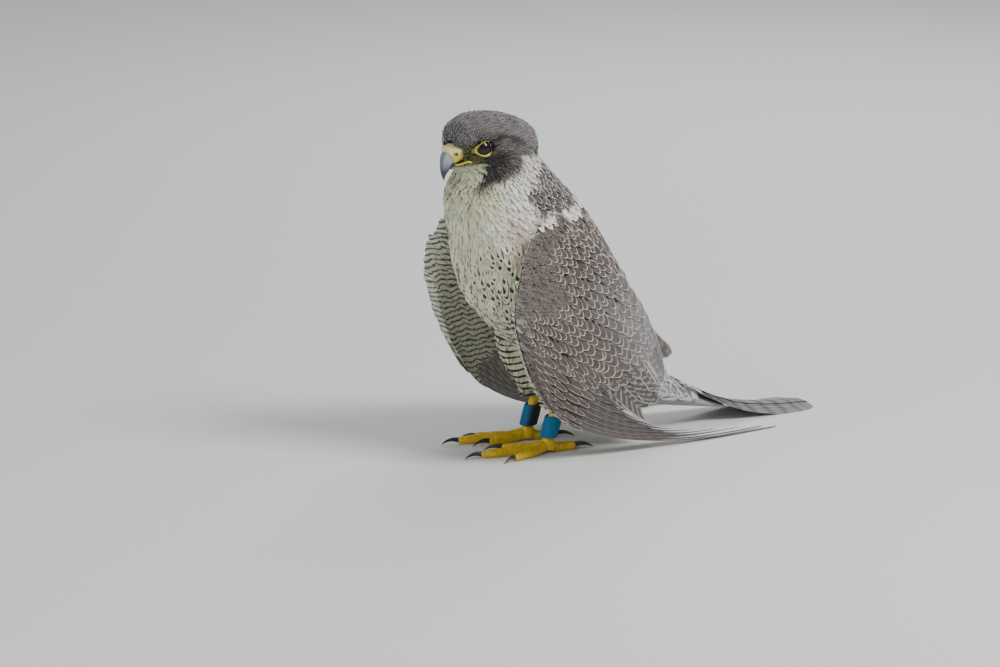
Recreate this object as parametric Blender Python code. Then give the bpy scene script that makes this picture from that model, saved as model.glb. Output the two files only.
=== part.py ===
"""A life-size adult peregrine falcon that stands with its wings drooped and its tail laid on the ground.

The bird faces -Y, its left side is +X, and its toes, tail and wing tips rest on Z = 0.
Lengths are in centimetres and CM turns them into metres. Angles are in degrees.
"""

import math

import bmesh
import bpy
from mathutils import Matrix, Vector

CM = 0.01

# Driving dimensions

GAP = 0.03  # free space between two neighbouring pieces
ORIGIN_X = -0.4732  # middle of the whole bird's box, measured from the midline and from between the feet
ORIGIN_Y = 8.792

BETWEEN_EYES = Vector((0.0, -7.22, 26.38))
HEAD_PITCH = 11.0  # how far the bill is turned down
HEAD_YAW = 2.0  # how far the bill is turned to the bird's left

EYE_RADIUS = 0.80
EYE_CENTRE_SIDE = 1.80

TAIL_TIP_Y = 27.6

FOOT_LEFT = Vector((2.35, -0.85, 0.0))
FOOT_RIGHT = Vector((-2.15, 0.25, 0.0))
FOOT_LEFT_YAW = 12.0  # turn of the middle toe from -Y towards -X
FOOT_RIGHT_YAW = 19.0
FOOT_LEFT_SPREAD = 1.0  # how wide the toes are spread
FOOT_RIGHT_SPREAD = 0.6
TARSUS_RADIUS = 0.42
TARSUS_LEAN = 1.15  # how far back the heel joint lies behind the toes' joint
TARSUS_BOTTOM = 1.16
TARSUS_TOP = 3.70
ANKLET_BOTTOM = 1.30
ANKLET_TOP = 3.05

# Neck and trunk, as rings through a point of the back and one of the front: back y, z, front y, z, half width
TORSO = (
    ("under the skull", -1.4, 26.0, -8.0, 23.9, 2.85),
    ("nape", -0.45, 24.6, -9.1, 22.35, 3.35),
    ("collar", 1.1, 22.9, -8.95, 20.4, 3.9),
    ("shoulder", 2.9, 21.0, -8.4, 18.2, 4.6),
    ("breast", 4.8, 18.5, -7.8, 15.9, 5.15),
    ("keel", 6.6, 15.7, -6.9, 13.4, 5.3),
    ("belly", 8.2, 13.0, -5.2, 11.2, 5.0),
    ("loin", 9.5, 10.4, -3.1, 9.3, 4.5),
    ("vent", 10.6, 8.0, -0.4, 7.3, 3.85),
    ("rump", 11.7, 6.0, 3.6, 4.9, 3.0),
    ("tail root", 13.0, 4.35, 8.2, 2.7, 2.25),
)
NECK_SPAN = (0.0, 2.55)
TRUNK_SPAN = (2.57, 8.0)
RUMP_SPAN = (8.02, 10.0)

TAIL = (
    ("base", 13.05, 4.30, 8.3, 2.62, 2.2),
    ("coverts", 15.2, 3.2, 12.2, 1.75, 2.15),
    ("quarter", 17.6, 2.05, 16.0, 1.15, 2.2),
    ("middle", 20.2, 1.15, 19.7, 0.62, 2.35),
    ("three quarters", 23.2, 0.62, 23.1, 0.2, 2.55),
    ("band", 25.8, 0.40, 25.8, 0.0, 2.6),
    ("round", 27.0, 0.30, 27.0, 0.0, 2.15),
    ("tip", TAIL_TIP_Y, 0.20, TAIL_TIP_Y, 0.0, 1.1),
)

# The skull, from nape to forehead, measured from between the eyes: forward, bottom, top, half width
SKULL = (
    ("nape", -5.95, -2.2, -0.05, 1.6),
    ("occiput", -5.15, -3.0, 0.75, 2.5),
    ("behind the ears", -3.95, -3.3, 1.55, 3.05),
    ("crown", -2.4, -3.3, 2.15, 3.3),
    ("cheek", -0.9, -3.05, 2.50, 2.95),
    ("eye", 0.2, -2.8, 2.50, 2.42),
    ("brow", 1.0, -2.45, 2.32, 2.06),
    ("lore", 1.62, -2.05, 1.95, 1.62),
    ("forehead", 2.0, -1.62, 1.45, 1.20),
)
SKULL_BACK = (-6.25, -1.1)
SKULL_FRONT = (2.18, -0.05)

# Bill rings in the head's middle plane: forward and up of the ridge, forward and up of the cutting edge, half width
CERE = (
    ("inside the face", 1.1, 0.60, 0.9, -0.95, 0.85),
    ("edge of the face", 1.80, 0.80, 1.35, -1.0, 0.86),
    ("nostril", 2.22, 0.52, 1.75, -1.0, 0.81),
    ("front", 2.45, 0.12, 2.05, -1.03, 0.73),
)
BILL_UPPER = (
    ("base", 2.50, 0.07, 2.10, -1.06, 0.70),
    ("ridge", 2.79, -0.26, 2.27, -1.17, 0.62),
    ("bend", 3.00, -0.82, 2.42, -1.36, 0.47),
    ("tooth", 3.10, -1.34, 2.60, -1.60, 0.33),
    ("hook", 3.11, -1.78, 2.83, -1.88, 0.18),
)
BILL_UPPER_TIP = (3.0, -2.28)
BILL_LOWER = (
    ("inside the face", 0.8, -1.12, 0.9, -1.55, 0.62),
    ("corner", 1.4, -1.12, 1.4, -1.62, 0.60),
    ("middle", 1.82, -1.17, 1.82, -1.60, 0.49),
    ("front", 2.12, -1.29, 2.07, -1.57, 0.33),
)
BILL_LOWER_TIP = (2.3, -1.47)

# Wings, as ribs that follow the feathers from the front edge of the arm to the tips.
# Each row: front edge x, y, z; feather tip x, y, z; widest x; slope at the start and end; length of both bends
WING_LEFT = (
    ("tertials", 4.5, -1.7, 20.7, 2.9, 10.8, 5.0, 6.0, 42.0, 58.0, 6.5, 6.0),
    ("inner secondaries", 5.2, -4.0, 19.7, 3.8, 9.9, 4.1, 6.5, 40.0, 54.0, 6.5, 6.0),
    ("middle secondaries", 5.8, -5.7, 17.4, 4.6, 8.6, 2.9, 6.75, 40.0, 48.0, 6.5, 6.0),
    ("outer secondaries", 6.3, -6.7, 15.0, 4.9, 7.4, 2.7, 6.8, 42.0, 40.0, 6.0, 6.0),
    ("inner primaries", 6.6, -7.07, 12.8, 4.6, 8.9, 1.6, 6.8, 47.0, 12.0, 6.0, 4.5),
    ("middle primaries", 6.85, -6.6, 10.2, 4.7, 13.0, 0.8, 6.7, 50.0, 4.0, 7.5, 7.0),
    ("outer primaries", 6.85, -5.6, 7.6, 5.2, 17.6, 0.4, 6.6, 52.0, 1.0, 8.0, 9.0),
    ("leading primary", 6.75, -4.2, 5.3, 6.3, 21.6, 0.15, 6.9, 50.0, 0.0, 6.4, 9.0),
)
WING_RIGHT = (
    ("tertials", 4.6, -1.4, 21.0, 2.0, 15.0, 5.2, 6.3, 38.0, 50.0, 7.0, 6.5),
    ("inner secondaries", 5.6, -3.7, 20.5, 3.1, 13.2, 4.2, 6.9, 38.0, 50.0, 7.0, 6.5),
    ("middle secondaries", 6.6, -5.4, 18.8, 4.3, 11.2, 3.2, 7.4, 40.0, 46.0, 6.5, 6.0),
    ("outer secondaries", 7.3, -6.4, 16.8, 5.2, 9.0, 2.9, 7.6, 44.0, 38.0, 6.5, 6.0),
    ("inner primaries", 7.6, -6.6, 14.6, 5.0, 10.3, 1.7, 7.7, 50.0, 12.0, 6.5, 4.5),
    ("middle primaries", 7.8, -5.9, 11.9, 5.0, 13.4, 0.8, 7.6, 56.0, 4.0, 8.0, 7.0),
    ("outer primaries", 7.8, -4.8, 9.2, 5.4, 17.0, 0.4, 7.4, 58.0, 1.0, 8.5, 9.0),
    ("leading primary", 7.7, -3.5, 6.8, 6.4, 20.8, 0.15, 7.5, 58.0, 0.0, 7.6, 9.0),
)
# Where the long coverts end along a rib, from the tertials to the leading primary
COVERT_ENDS = (0.76, 0.76, 0.76, 0.72, 0.52, 0.38, 0.27, 0.20)
SHORTEST_RIB = 18.0
FIRST_PRIMARY = 3.5  # rib number between the secondaries and the primaries
WING_SPLIT = 0.06  # share of a rib's spacing that stays free on both sides of that line
ARM_THICKNESS = 1.05
ARM_EDGE = 0.30
COVERT_THICKNESS = 0.34
QUILL_THICKNESS = 0.24
FEATHER_THICKNESS = 0.10

# Toes: turn from the middle toe, towards the inside; length to the claw; radius at the root and at the claw; claw
TOES = (
    ("back", 180.0, 2.3, 0.44, 0.36, 1.9),
    ("inner", 26.0, 3.7, 0.44, 0.34, 1.8),
    ("middle", 0.0, 5.9, 0.46, 0.34, 1.7),
    ("outer", -28.0, 4.3, 0.42, 0.32, 1.5),
)
ANKLE_RADIUS = 0.66

COLOURS = {
    "slate": (0.115, 0.105, 0.110),
    "cream": (0.62, 0.60, 0.52),
    "barred": (0.33, 0.32, 0.28),
    "brown": (0.125, 0.105, 0.100),
    "pale grey": (0.42, 0.42, 0.42),
    "yellow": (0.62, 0.42, 0.02),
    "horn": (0.16, 0.18, 0.23),
    "black": (0.012, 0.012, 0.014),
    "dark eye": (0.020, 0.012, 0.010),
    "blue leather": (0.010, 0.110, 0.270),
}


def clear_scene():
    for obj in list(bpy.data.objects):
        bpy.data.objects.remove(obj, do_unlink=True)


def material(name, colour, roughness):
    mat = bpy.data.materials.new(name)
    mat.use_nodes = True
    shader = mat.node_tree.nodes["Principled BSDF"]
    shader.inputs["Base Color"].default_value = (*COLOURS[colour], 1.0)
    shader.inputs["Roughness"].default_value = roughness
    shader.inputs["Metallic"].default_value = 0.0
    mat.diffuse_color = (*COLOURS[colour], 1.0)
    return mat


def smooth_row(rows, place):
    """Values at a fractional row number, on a smooth curve through all the rows."""
    last = len(rows) - 1
    first = min(int(place), last - 1)
    share = place - first
    before = rows[max(first - 1, 0)]
    here = rows[first]
    after = rows[first + 1]
    beyond = rows[min(first + 2, last)]
    values = []
    for a, b, c, d in zip(before, here, after, beyond):
        bend = 2 * a - 5 * b + 4 * c - d
        twist = 3 * (b - c) + d - a
        values.append(b + 0.5 * share * (c - a + share * (bend + share * twist)))
    return values


def even_steps(start, end, count):
    return [start + (end - start) * i / count for i in range(count + 1)]


def turn_faces_out(mesh):
    shell = bmesh.new()
    shell.from_mesh(mesh)
    bmesh.ops.recalc_face_normals(shell, faces=shell.faces)
    shell.to_mesh(mesh)
    shell.free()


def add_object(name, points, faces, colour, roughness=0.7, origin=None):
    """A mesh object whose points are given in centimetres from between the feet."""
    origin = origin or Vector((0.0, 0.0, 0.0))
    mesh = bpy.data.meshes.new(name)
    mesh.from_pydata([(Vector(p) - origin) * CM for p in points], [], faces)
    turn_faces_out(mesh)
    mesh.shade_smooth()
    mesh.set_sharp_from_angle(angle=math.radians(40))
    obj = bpy.data.objects.new(name, mesh)
    obj.location = (origin - Vector((ORIGIN_X, ORIGIN_Y, 0.0))) * CM
    obj.data.materials.append(material(name, colour, roughness))
    bpy.context.scene.collection.objects.link(obj)
    return obj


def skin_rings(rings, start_pole=None, end_pole=None):
    """Points and faces of a closed tube through rings, with a flat or a pointed end at each side."""
    count = len(rings[0])
    points = [p for ring in rings for p in ring]
    faces = []
    for row in range(len(rings) - 1):
        for i in range(count):
            j = (i + 1) % count
            low = row * count
            high = low + count
            faces.append((low + i, low + j, high + j, high + i))
    last = (len(rings) - 1) * count
    if start_pole is None:
        faces.append(tuple(range(count))[::-1])
    else:
        points.append(start_pole)
        pole = len(points) - 1
        faces.extend(((i + 1) % count, i, pole) for i in range(count))
    if end_pole is None:
        faces.append(tuple(range(last, last + count)))
    else:
        points.append(end_pole)
        pole = len(points) - 1
        faces.extend((last + i, last + (i + 1) % count, pole) for i in range(count))
    return points, faces


def cross_ring(back, front, half_width, count, squareness=2.0):
    """A ring round the middle plane, through a back point and a front point."""
    middle = (back + front) / 2
    reach = (back - front) / 2
    power = 2.0 / squareness
    ring = []
    for i in range(count):
        turn = math.tau * i / count
        along = math.copysign(abs(math.cos(turn)) ** power, math.cos(turn))
        across = math.copysign(abs(math.sin(turn)) ** power, math.sin(turn))
        ring.append(middle + reach * along + Vector((half_width * across, 0.0, 0.0)))
    return ring


def sagittal_ring(values, count, squareness=2.0):
    back_y, back_z, front_y, front_z, half_width = values
    back = Vector((0.0, back_y, back_z))
    front = Vector((0.0, front_y, front_z))
    return cross_ring(back, front, half_width, count, squareness)


def rows_without_names(rows):
    return [row[1:] for row in rows]


def boolean(obj, cutter, operation):
    modifier = obj.modifiers.new(operation.lower() + " " + cutter.name, "BOOLEAN")
    modifier.operation = operation
    modifier.solver = "EXACT"
    modifier.object = cutter
    cutter.hide_render = True
    cutter.display_type = "WIRE"


def grown_copy(obj, amount):
    """A copy whose surface lies a little outside the object's own, to cut its neighbours with."""
    mesh = obj.data.copy()
    normals = [vertex.normal.copy() for vertex in mesh.vertices]
    for vertex, normal in zip(mesh.vertices, normals):
        vertex.co += normal * amount * CM
    copy = bpy.data.objects.new("room_for_" + obj.name, mesh)
    copy.location = obj.location
    bpy.context.scene.collection.objects.link(copy)
    copy.hide_render = True
    copy.display_type = "WIRE"
    return copy


# Head


def head_frame():
    turn = Matrix.Rotation(math.radians(HEAD_YAW), 4, "Z") @ Matrix.Rotation(math.radians(HEAD_PITCH), 4, "X")
    return Matrix.Translation(BETWEEN_EYES) @ turn


def in_head(forward, up, side=0.0):
    return head_frame() @ Vector((side, -forward, up))


def make_skull():
    rows = rows_without_names(SKULL)
    rings = []
    for place in even_steps(0, len(rows) - 1, 11):
        forward, bottom, top, half_width = smooth_row(rows, place)
        flat = cross_ring(Vector((0, 0, top)), Vector((0, 0, bottom)), half_width, 22, 2.15)
        rings.append([in_head(forward, p.z, p.x) for p in flat])
    points, faces = skin_rings(rings, in_head(*SKULL_BACK), in_head(*SKULL_FRONT))
    return add_object("head", points, faces, "slate")


def bill_rings(rows, steps, count):
    plain = rows_without_names(rows)
    rings = []
    for place in even_steps(0, len(plain) - 1, steps):
        ridge_forward, ridge_up, edge_forward, edge_up, half_width = smooth_row(plain, place)
        ring = cross_ring(
            Vector((0.0, -ridge_forward, ridge_up)), Vector((0.0, -edge_forward, edge_up)), half_width, count, 2.2
        )
        rings.append([head_frame() @ p for p in ring])
    return rings


def make_cere():
    points, faces = skin_rings(bill_rings(CERE, 4, 16))
    return add_object("cere", points, faces, "yellow", 0.45)


def make_bill_upper():
    points, faces = skin_rings(bill_rings(BILL_UPPER, 7, 14), None, in_head(*BILL_UPPER_TIP))
    return add_object("bill_upper", points, faces, "horn", 0.3)


def make_bill_lower():
    points, faces = skin_rings(bill_rings(BILL_LOWER, 3, 12), None, in_head(*BILL_LOWER_TIP))
    return add_object("bill_lower", points, faces, "horn", 0.3)


def make_eye(name, side):
    centre = in_head(0.0, 0.0, side * EYE_CENTRE_SIDE)
    outward = (in_head(0.0, 0.0, side) - in_head(0.0, 0.0)).normalized()
    up = Vector((0.0, 0.0, 1.0))
    across = outward.cross(up).normalized()
    up = across.cross(outward)
    rings = []
    for step in range(1, 8):
        tilt = math.pi * step / 8
        ring = []
        for i in range(12):
            turn = math.tau * i / 12
            round_part = across * math.cos(turn) + up * math.sin(turn)
            ring.append(centre + EYE_RADIUS * (outward * -math.cos(tilt) + round_part * math.sin(tilt)))
        rings.append(ring)
    points, faces = skin_rings(rings, centre - outward * EYE_RADIUS, centre + outward * EYE_RADIUS)
    return add_object(name, points, faces, "dark eye", 0.05)


# Neck, trunk, rump and tail


def torso_part(name, span, rings, colour):
    rows = rows_without_names(TORSO)
    loops = [sagittal_ring(smooth_row(rows, place), 24, 2.1) for place in even_steps(*span, rings)]
    points, faces = skin_rings(loops)
    return add_object(name, points, faces, colour)


def make_tail():
    rows = rows_without_names(TAIL)
    loops = []
    for place in even_steps(0, len(rows) - 1, 12):
        ring = sagittal_ring(smooth_row(rows, place), 20)
        loops.append([Vector((p.x, p.y, max(p.z, 0.0))) for p in ring])
    points, faces = skin_rings(loops)
    return add_object("tail", points, faces, "pale grey")


# Wings


def bezier(a, b, c, d, t):
    s = 1.0 - t
    return a * s**3 + b * 3 * s * s * t + c * 3 * s * t * t + d * t**3


def wing_point(rows, rib, along):
    """A point of the wing's outer face, at a rib number and a share of the way to the feather tips."""
    x0, y0, z0, x1, y1, z1, widest, start_slope, end_slope, start_bend, end_bend = smooth_row(rows, rib)
    down0 = math.radians(start_slope)
    down1 = math.radians(end_slope)
    front = Vector((x0, y0, z0))
    tip = Vector((x1, y1, z1))
    leaving = Vector((widest, y0 + start_bend * math.cos(down0), z0 - start_bend * math.sin(down0)))
    arriving = Vector((widest, y1 - end_bend * math.cos(down1), z1 + end_bend * math.sin(down1)))
    return bezier(front, leaving, arriving, tip, along)


def wing_normal(rows, rib, along):
    """The direction from the wing's outer face towards the body."""
    step = 0.02
    last_rib = len(rows) - 1
    across = wing_point(rows, min(rib + step, last_rib), along) - wing_point(rows, max(rib - step, 0.0), along)
    down = wing_point(rows, rib, min(along + step, 1.0)) - wing_point(rows, rib, max(along - step, 0.0))
    return down.cross(across).normalized()


def covert_end(rib):
    return smooth_row([(end,) for end in COVERT_ENDS], rib)[0]


def arm_thickness(share):
    """Thickness of the arm with its coverts, from the rounded front edge to the long coverts' tips."""
    if share < 0.14:
        return ARM_EDGE + (ARM_THICKNESS - ARM_EDGE) * math.sin(math.pi / 2 * share / 0.14)
    fade = (share - 0.14) / 0.86
    return COVERT_THICKNESS + (ARM_THICKNESS - COVERT_THICKNESS) * (1.0 - fade) ** 1.3


def feather_thickness(share):
    return QUILL_THICKNESS + (FEATHER_THICKNESS - QUILL_THICKNESS) * share**0.7


def wing_sheet(name, rows, side, ribs, spans, steps, thickness, colour):
    """A closed sheet between two shares of every rib; spans gives both shares at a rib."""
    outer = []
    inner = []
    for rib in ribs:
        start, end = spans(rib)
        for i, along in enumerate(even_steps(start, end, steps)):
            point = wing_point(rows, rib, along)
            depth = thickness(i / steps)
            under = point + wing_normal(rows, rib, along) * depth
            outer.append(Vector((side * point.x, point.y, max(point.z, FEATHER_THICKNESS))))
            inner.append(Vector((side * under.x, under.y, max(under.z, 0.0))))
    points = outer + inner
    width = steps + 1
    total = len(outer)
    faces = []
    for column in range(len(ribs) - 1):
        for row in range(steps):
            a = column * width + row
            quad = (a, a + 1, a + width + 1, a + width)
            faces.append(quad)
            faces.append(tuple(total + k for k in reversed(quad)))
    last = (len(ribs) - 1) * width
    for row in range(steps):
        faces.append((row + 1, row, total + row, total + row + 1))
        faces.append((last + row, last + row + 1, total + last + row + 1, total + last + row))
    for column in range(len(ribs) - 1):
        a = column * width
        b = a + width
        faces.append((a, b, total + b, total + a))
        faces.append((b + steps, a + steps, total + a + steps, total + b + steps))
    return add_object(name, points, faces, colour)


def make_wing(word, rows, side):
    plain = rows_without_names(rows)
    last_rib = len(plain) - 1
    gap_share = 2.2 * GAP / SHORTEST_RIB

    def arm_span(rib):
        return 0.0, covert_end(rib)

    def feather_span(rib):
        return covert_end(rib) + gap_share, 1.0

    secondaries = even_steps(0, FIRST_PRIMARY - WING_SPLIT, 7)
    primaries = even_steps(FIRST_PRIMARY + WING_SPLIT, last_rib, 8)
    arm = wing_sheet(
        f"wing_{word}_arm", plain, side, secondaries + primaries, arm_span, 9, arm_thickness, "brown"
    )
    wing_sheet(f"wing_{word}_secondaries", plain, side, secondaries, feather_span, 4, feather_thickness, "brown")
    wing_sheet(f"wing_{word}_primaries", plain, side, primaries, feather_span, 12, feather_thickness, "brown")
    return arm


# Legs


def tube(path, radii, count, flat_bottom=False):
    """Rings round a path of points, each square to the path."""
    rings = []
    for i, (point, radius) in enumerate(zip(path, radii)):
        ahead = path[min(i + 1, len(path) - 1)]
        behind = path[max(i - 1, 0)]
        along = (ahead - behind).normalized()
        reference = Vector((0.0, 0.0, 1.0)) if abs(along.z) < 0.8 else Vector((0.0, 1.0, 0.0))
        across = along.cross(reference).normalized()
        up = across.cross(along)
        ring = []
        for k in range(count):
            turn = math.tau * (k + 0.5) / count
            p = point + radius * (across * math.cos(turn) + up * math.sin(turn))
            if flat_bottom:
                p.z = max(p.z, 0.0)
            ring.append(p)
        rings.append(ring)
    return rings


def toe_direction(foot_yaw, turn, side):
    heading = math.radians(foot_yaw + side * turn)
    return Vector((-math.sin(heading), -math.cos(heading), 0.0))


def toe_path(foot, direction, length, root_radius, tip_radius):
    """Middle line of a toe: down from the foot's joint, then along the ground."""
    path = []
    radii = []
    for share in (0.0, 0.14, 0.32, 0.52, 0.72, 0.9, 1.0):
        radius = root_radius + (tip_radius - root_radius) * share
        lift = 0.26 * max(0.0, 1.0 - share / 0.32)
        height = radius * 0.88 + lift
        path.append(foot + direction * length * share + Vector((0.0, 0.0, height)))
        radii.append(radius)
    radii[-1] *= 0.72
    return path, radii


def make_foot(word, foot, yaw, spread, side):
    body = None
    for name, turn, length, root_radius, tip_radius, claw_length in TOES:
        direction = toe_direction(yaw, turn if name == "back" else turn * spread, side)
        path, radii = toe_path(foot, direction, length, root_radius, tip_radius)
        points, faces = skin_rings(tube(path, radii, 10, flat_bottom=True))
        toe_name = f"foot_{word}" if body is None else f"toe_{name}_{word}"
        toe = add_object(toe_name, points, faces, "yellow", 0.5)
        if body is None:
            body = toe
        else:
            boolean(body, toe, "UNION")
        make_claw(f"claw_{name}_{word}", path[-1], direction, tip_radius, claw_length)
    stub = [foot + Vector((0.0, 0.0, z)) for z in (0.0, 0.3, 0.75, TARSUS_BOTTOM - GAP)]
    radii = [ANKLE_RADIUS * 0.8, ANKLE_RADIUS, ANKLE_RADIUS * 0.9, TARSUS_RADIUS]
    points, faces = skin_rings(tube(stub, radii, 14))
    joint = add_object(f"joint_{word}", points, faces, "yellow", 0.5)
    boolean(body, joint, "UNION")
    return body


def make_claw(name, toe_end, direction, toe_radius, length):
    """A claw that leaves the toe level and curves down to the ground."""
    start = toe_end + direction * 2.5 * GAP
    bend = math.radians(62.0)
    steps = 6
    path = [start]
    heading = math.radians(-18.0)
    radii = [toe_radius * 0.66]
    for i in range(1, steps):
        slope = heading + bend * i / steps
        step = direction * math.cos(slope) - Vector((0.0, 0.0, math.sin(slope)))
        path.append(path[-1] + step * length / steps)
        radii.append(toe_radius * 0.66 * (1.0 - i / steps) ** 0.8)
    rings = tube(path, radii, 7)
    tip = path[-1] + (path[-1] - path[-2])
    lowest = min(p.z for ring in rings for p in ring)
    lift = Vector((0.0, 0.0, max(0.0, 0.02 - min(lowest, tip.z))))
    rings = [[p + lift * (i / (steps - 1)) for p in ring] for i, ring in enumerate(rings)]
    points, faces = skin_rings(rings, None, tip + lift)
    return add_object(name, points, faces, "black", 0.3)


def tarsus_point(foot, height):
    share = (height - TARSUS_BOTTOM) / (4.9 - TARSUS_BOTTOM)
    return foot + Vector((0.0, TARSUS_LEAN * share, height))


def make_tarsus(word, foot):
    heights = even_steps(TARSUS_BOTTOM, TARSUS_TOP, 4)
    rings = []
    for height in heights:
        centre = tarsus_point(foot, height)
        ring = []
        for k in range(12):
            turn = math.tau * (k + 0.5) / 12
            offset = Vector((0.9 * math.cos(turn), 1.1 * math.sin(turn), 0.0)) * TARSUS_RADIUS
            ring.append(centre + offset)
        rings.append(ring)
    points, faces = skin_rings(rings)
    return add_object(f"tarsus_{word}", points, faces, "yellow", 0.5)


def make_anklet(word, foot):
    """A leather band round the tarsus, open in the middle."""
    inner = TARSUS_RADIUS * 1.1 + 0.05
    outer = inner + 0.24
    profile = (
        (inner, ANKLET_BOTTOM + 0.1),
        (inner + 0.10, ANKLET_BOTTOM),
        (outer, ANKLET_BOTTOM + 0.15),
        (outer + 0.03, (ANKLET_BOTTOM + ANKLET_TOP) / 2),
        (outer, ANKLET_TOP - 0.15),
        (inner + 0.10, ANKLET_TOP),
        (inner, ANKLET_TOP - 0.1),
    )
    count = 16
    points = []
    for k in range(count):
        turn = math.tau * k / count
        for radius, height in profile:
            offset = Vector((math.cos(turn), math.sin(turn), 0.0)) * radius
            points.append(tarsus_point(foot, height) + offset)
    size = len(profile)
    faces = []
    for k in range(count):
        j = (k + 1) % count
        for i in range(size):
            n = (i + 1) % size
            faces.append((k * size + i, j * size + i, j * size + n, k * size + n))
    return add_object(f"anklet_{word}", points, faces, "blue leather", 0.6)


def make_thigh(word, foot, side):
    hock = tarsus_point(foot, TARSUS_TOP + GAP)
    hip = Vector((side * 2.75, 0.3, 9.6))
    rings = []
    for share in even_steps(0.0, 1.0, 6):
        centre = hip.lerp(hock, share)
        centre.y -= 0.5 * math.sin(math.pi * share)
        across = 2.15 + (0.85 - 2.15) * share**1.2
        along = 2.9 + (0.95 - 2.9) * share**1.1
        ring = []
        for k in range(16):
            turn = math.tau * (k + 0.5) / 16
            ring.append(centre + Vector((across * math.cos(turn), along * math.sin(turn), 0.0)))
        rings.append(ring)
    points, faces = skin_rings(rings)
    return add_object(f"thigh_{word}", points, faces, "barred")


def build():
    clear_scene()

    head = make_skull()
    cere = make_cere()
    bill_upper = make_bill_upper()
    bill_lower = make_bill_lower()
    eyes = [make_eye("eye_left", 1.0), make_eye("eye_right", -1.0)]
    for piece in (cere, bill_lower, *eyes):
        boolean(head, grown_copy(piece, GAP), "DIFFERENCE")
    boolean(head, grown_copy(bill_upper, GAP), "DIFFERENCE")

    neck = torso_part("neck", NECK_SPAN, 5, "slate")
    torso_part("trunk", TRUNK_SPAN, 12, "cream")
    torso_part("rump", RUMP_SPAN, 4, "pale grey")
    boolean(neck, grown_copy(head, GAP), "DIFFERENCE")
    make_tail()

    whole_body = torso_part("whole_body", (NECK_SPAN[0], RUMP_SPAN[1]), 24, "cream")
    room_for_body = grown_copy(whole_body, GAP)
    bpy.data.objects.remove(whole_body, do_unlink=True)
    for word, rows, side in (("left", WING_LEFT, 1.0), ("right", WING_RIGHT, -1.0)):
        arm = make_wing(word, rows, side)
        boolean(arm, room_for_body, "DIFFERENCE")

    for word, foot, yaw, spread, side in (
        ("left", FOOT_LEFT, FOOT_LEFT_YAW, FOOT_LEFT_SPREAD, 1.0),
        ("right", FOOT_RIGHT, FOOT_RIGHT_YAW, FOOT_RIGHT_SPREAD, -1.0),
    ):
        make_foot(word, foot, yaw, spread, side)
        make_tarsus(word, foot)
        make_anklet(word, foot)
        thigh = make_thigh(word, foot, side)
        boolean(thigh, room_for_body, "DIFFERENCE")


build()
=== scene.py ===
"""The looks of a life-size adult peregrine falcon: skin, feathers, bill, eyes, feet and anklets.

Design lengths are centimetres in a frame between the feet: the bird faces -Y, its left is +X.
world() turns them into metres in the frame's own place.
"""

import math

import bmesh
import bpy
import numpy as np
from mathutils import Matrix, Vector
from mathutils.bvhtree import BVHTree
from mathutils.kdtree import KDTree

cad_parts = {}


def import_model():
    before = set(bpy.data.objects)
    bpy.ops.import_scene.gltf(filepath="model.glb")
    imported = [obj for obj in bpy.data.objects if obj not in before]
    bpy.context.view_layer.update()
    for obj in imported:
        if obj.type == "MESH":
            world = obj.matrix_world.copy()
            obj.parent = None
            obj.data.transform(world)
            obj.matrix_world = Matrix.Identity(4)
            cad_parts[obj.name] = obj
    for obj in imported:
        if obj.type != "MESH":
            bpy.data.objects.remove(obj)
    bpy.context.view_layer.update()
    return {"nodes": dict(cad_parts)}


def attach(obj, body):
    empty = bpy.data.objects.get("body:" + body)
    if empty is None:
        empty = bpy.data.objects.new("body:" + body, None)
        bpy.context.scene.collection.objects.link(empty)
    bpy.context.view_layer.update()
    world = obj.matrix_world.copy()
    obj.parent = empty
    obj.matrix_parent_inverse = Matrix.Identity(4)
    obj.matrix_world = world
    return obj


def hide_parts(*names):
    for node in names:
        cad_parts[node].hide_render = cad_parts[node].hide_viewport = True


CM = 0.01
RANDOM = np.random.default_rng(71)

# Places shared with the solids

ORIGIN = np.array((-0.4732, 8.792, 0.0))
BETWEEN_EYES = np.array((0.0, -7.22, 26.38))
HEAD_PITCH = math.radians(11.0)
HEAD_YAW = math.radians(2.0)
EYE_SIDE = 1.80
EYE_RADIUS = 0.80

# Torso rows from the neck down: y and z of the back, y and z of the front, half width
TORSO = (
    (-1.4, 26.0, -8.0, 23.9, 2.85),
    (-0.45, 24.6, -9.1, 22.35, 3.35),
    (1.1, 22.9, -8.95, 20.4, 3.9),
    (2.9, 21.0, -8.4, 18.2, 4.6),
    (4.8, 18.5, -7.8, 15.9, 5.15),
    (6.6, 15.7, -6.9, 13.4, 5.3),
    (8.2, 13.0, -5.2, 11.2, 5.0),
    (9.5, 10.4, -3.1, 9.3, 4.5),
    (10.6, 8.0, -0.4, 7.3, 3.85),
    (11.7, 6.0, 3.6, 4.9, 3.0),
    (13.0, 4.35, 8.2, 2.7, 2.25),
)
# Tail rows: y and z on top, y and z below, half width
TAIL = (
    (13.05, 4.30, 8.3, 2.62, 2.2),
    (15.2, 3.2, 12.2, 1.75, 2.15),
    (17.6, 2.05, 16.0, 1.15, 2.2),
    (20.2, 1.15, 19.7, 0.62, 2.35),
    (23.2, 0.62, 23.1, 0.2, 2.55),
    (25.8, 0.40, 25.8, 0.0, 2.6),
    (27.0, 0.30, 27.0, 0.0, 2.15),
    (27.6, 0.20, 27.6, 0.0, 1.1),
)
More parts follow.
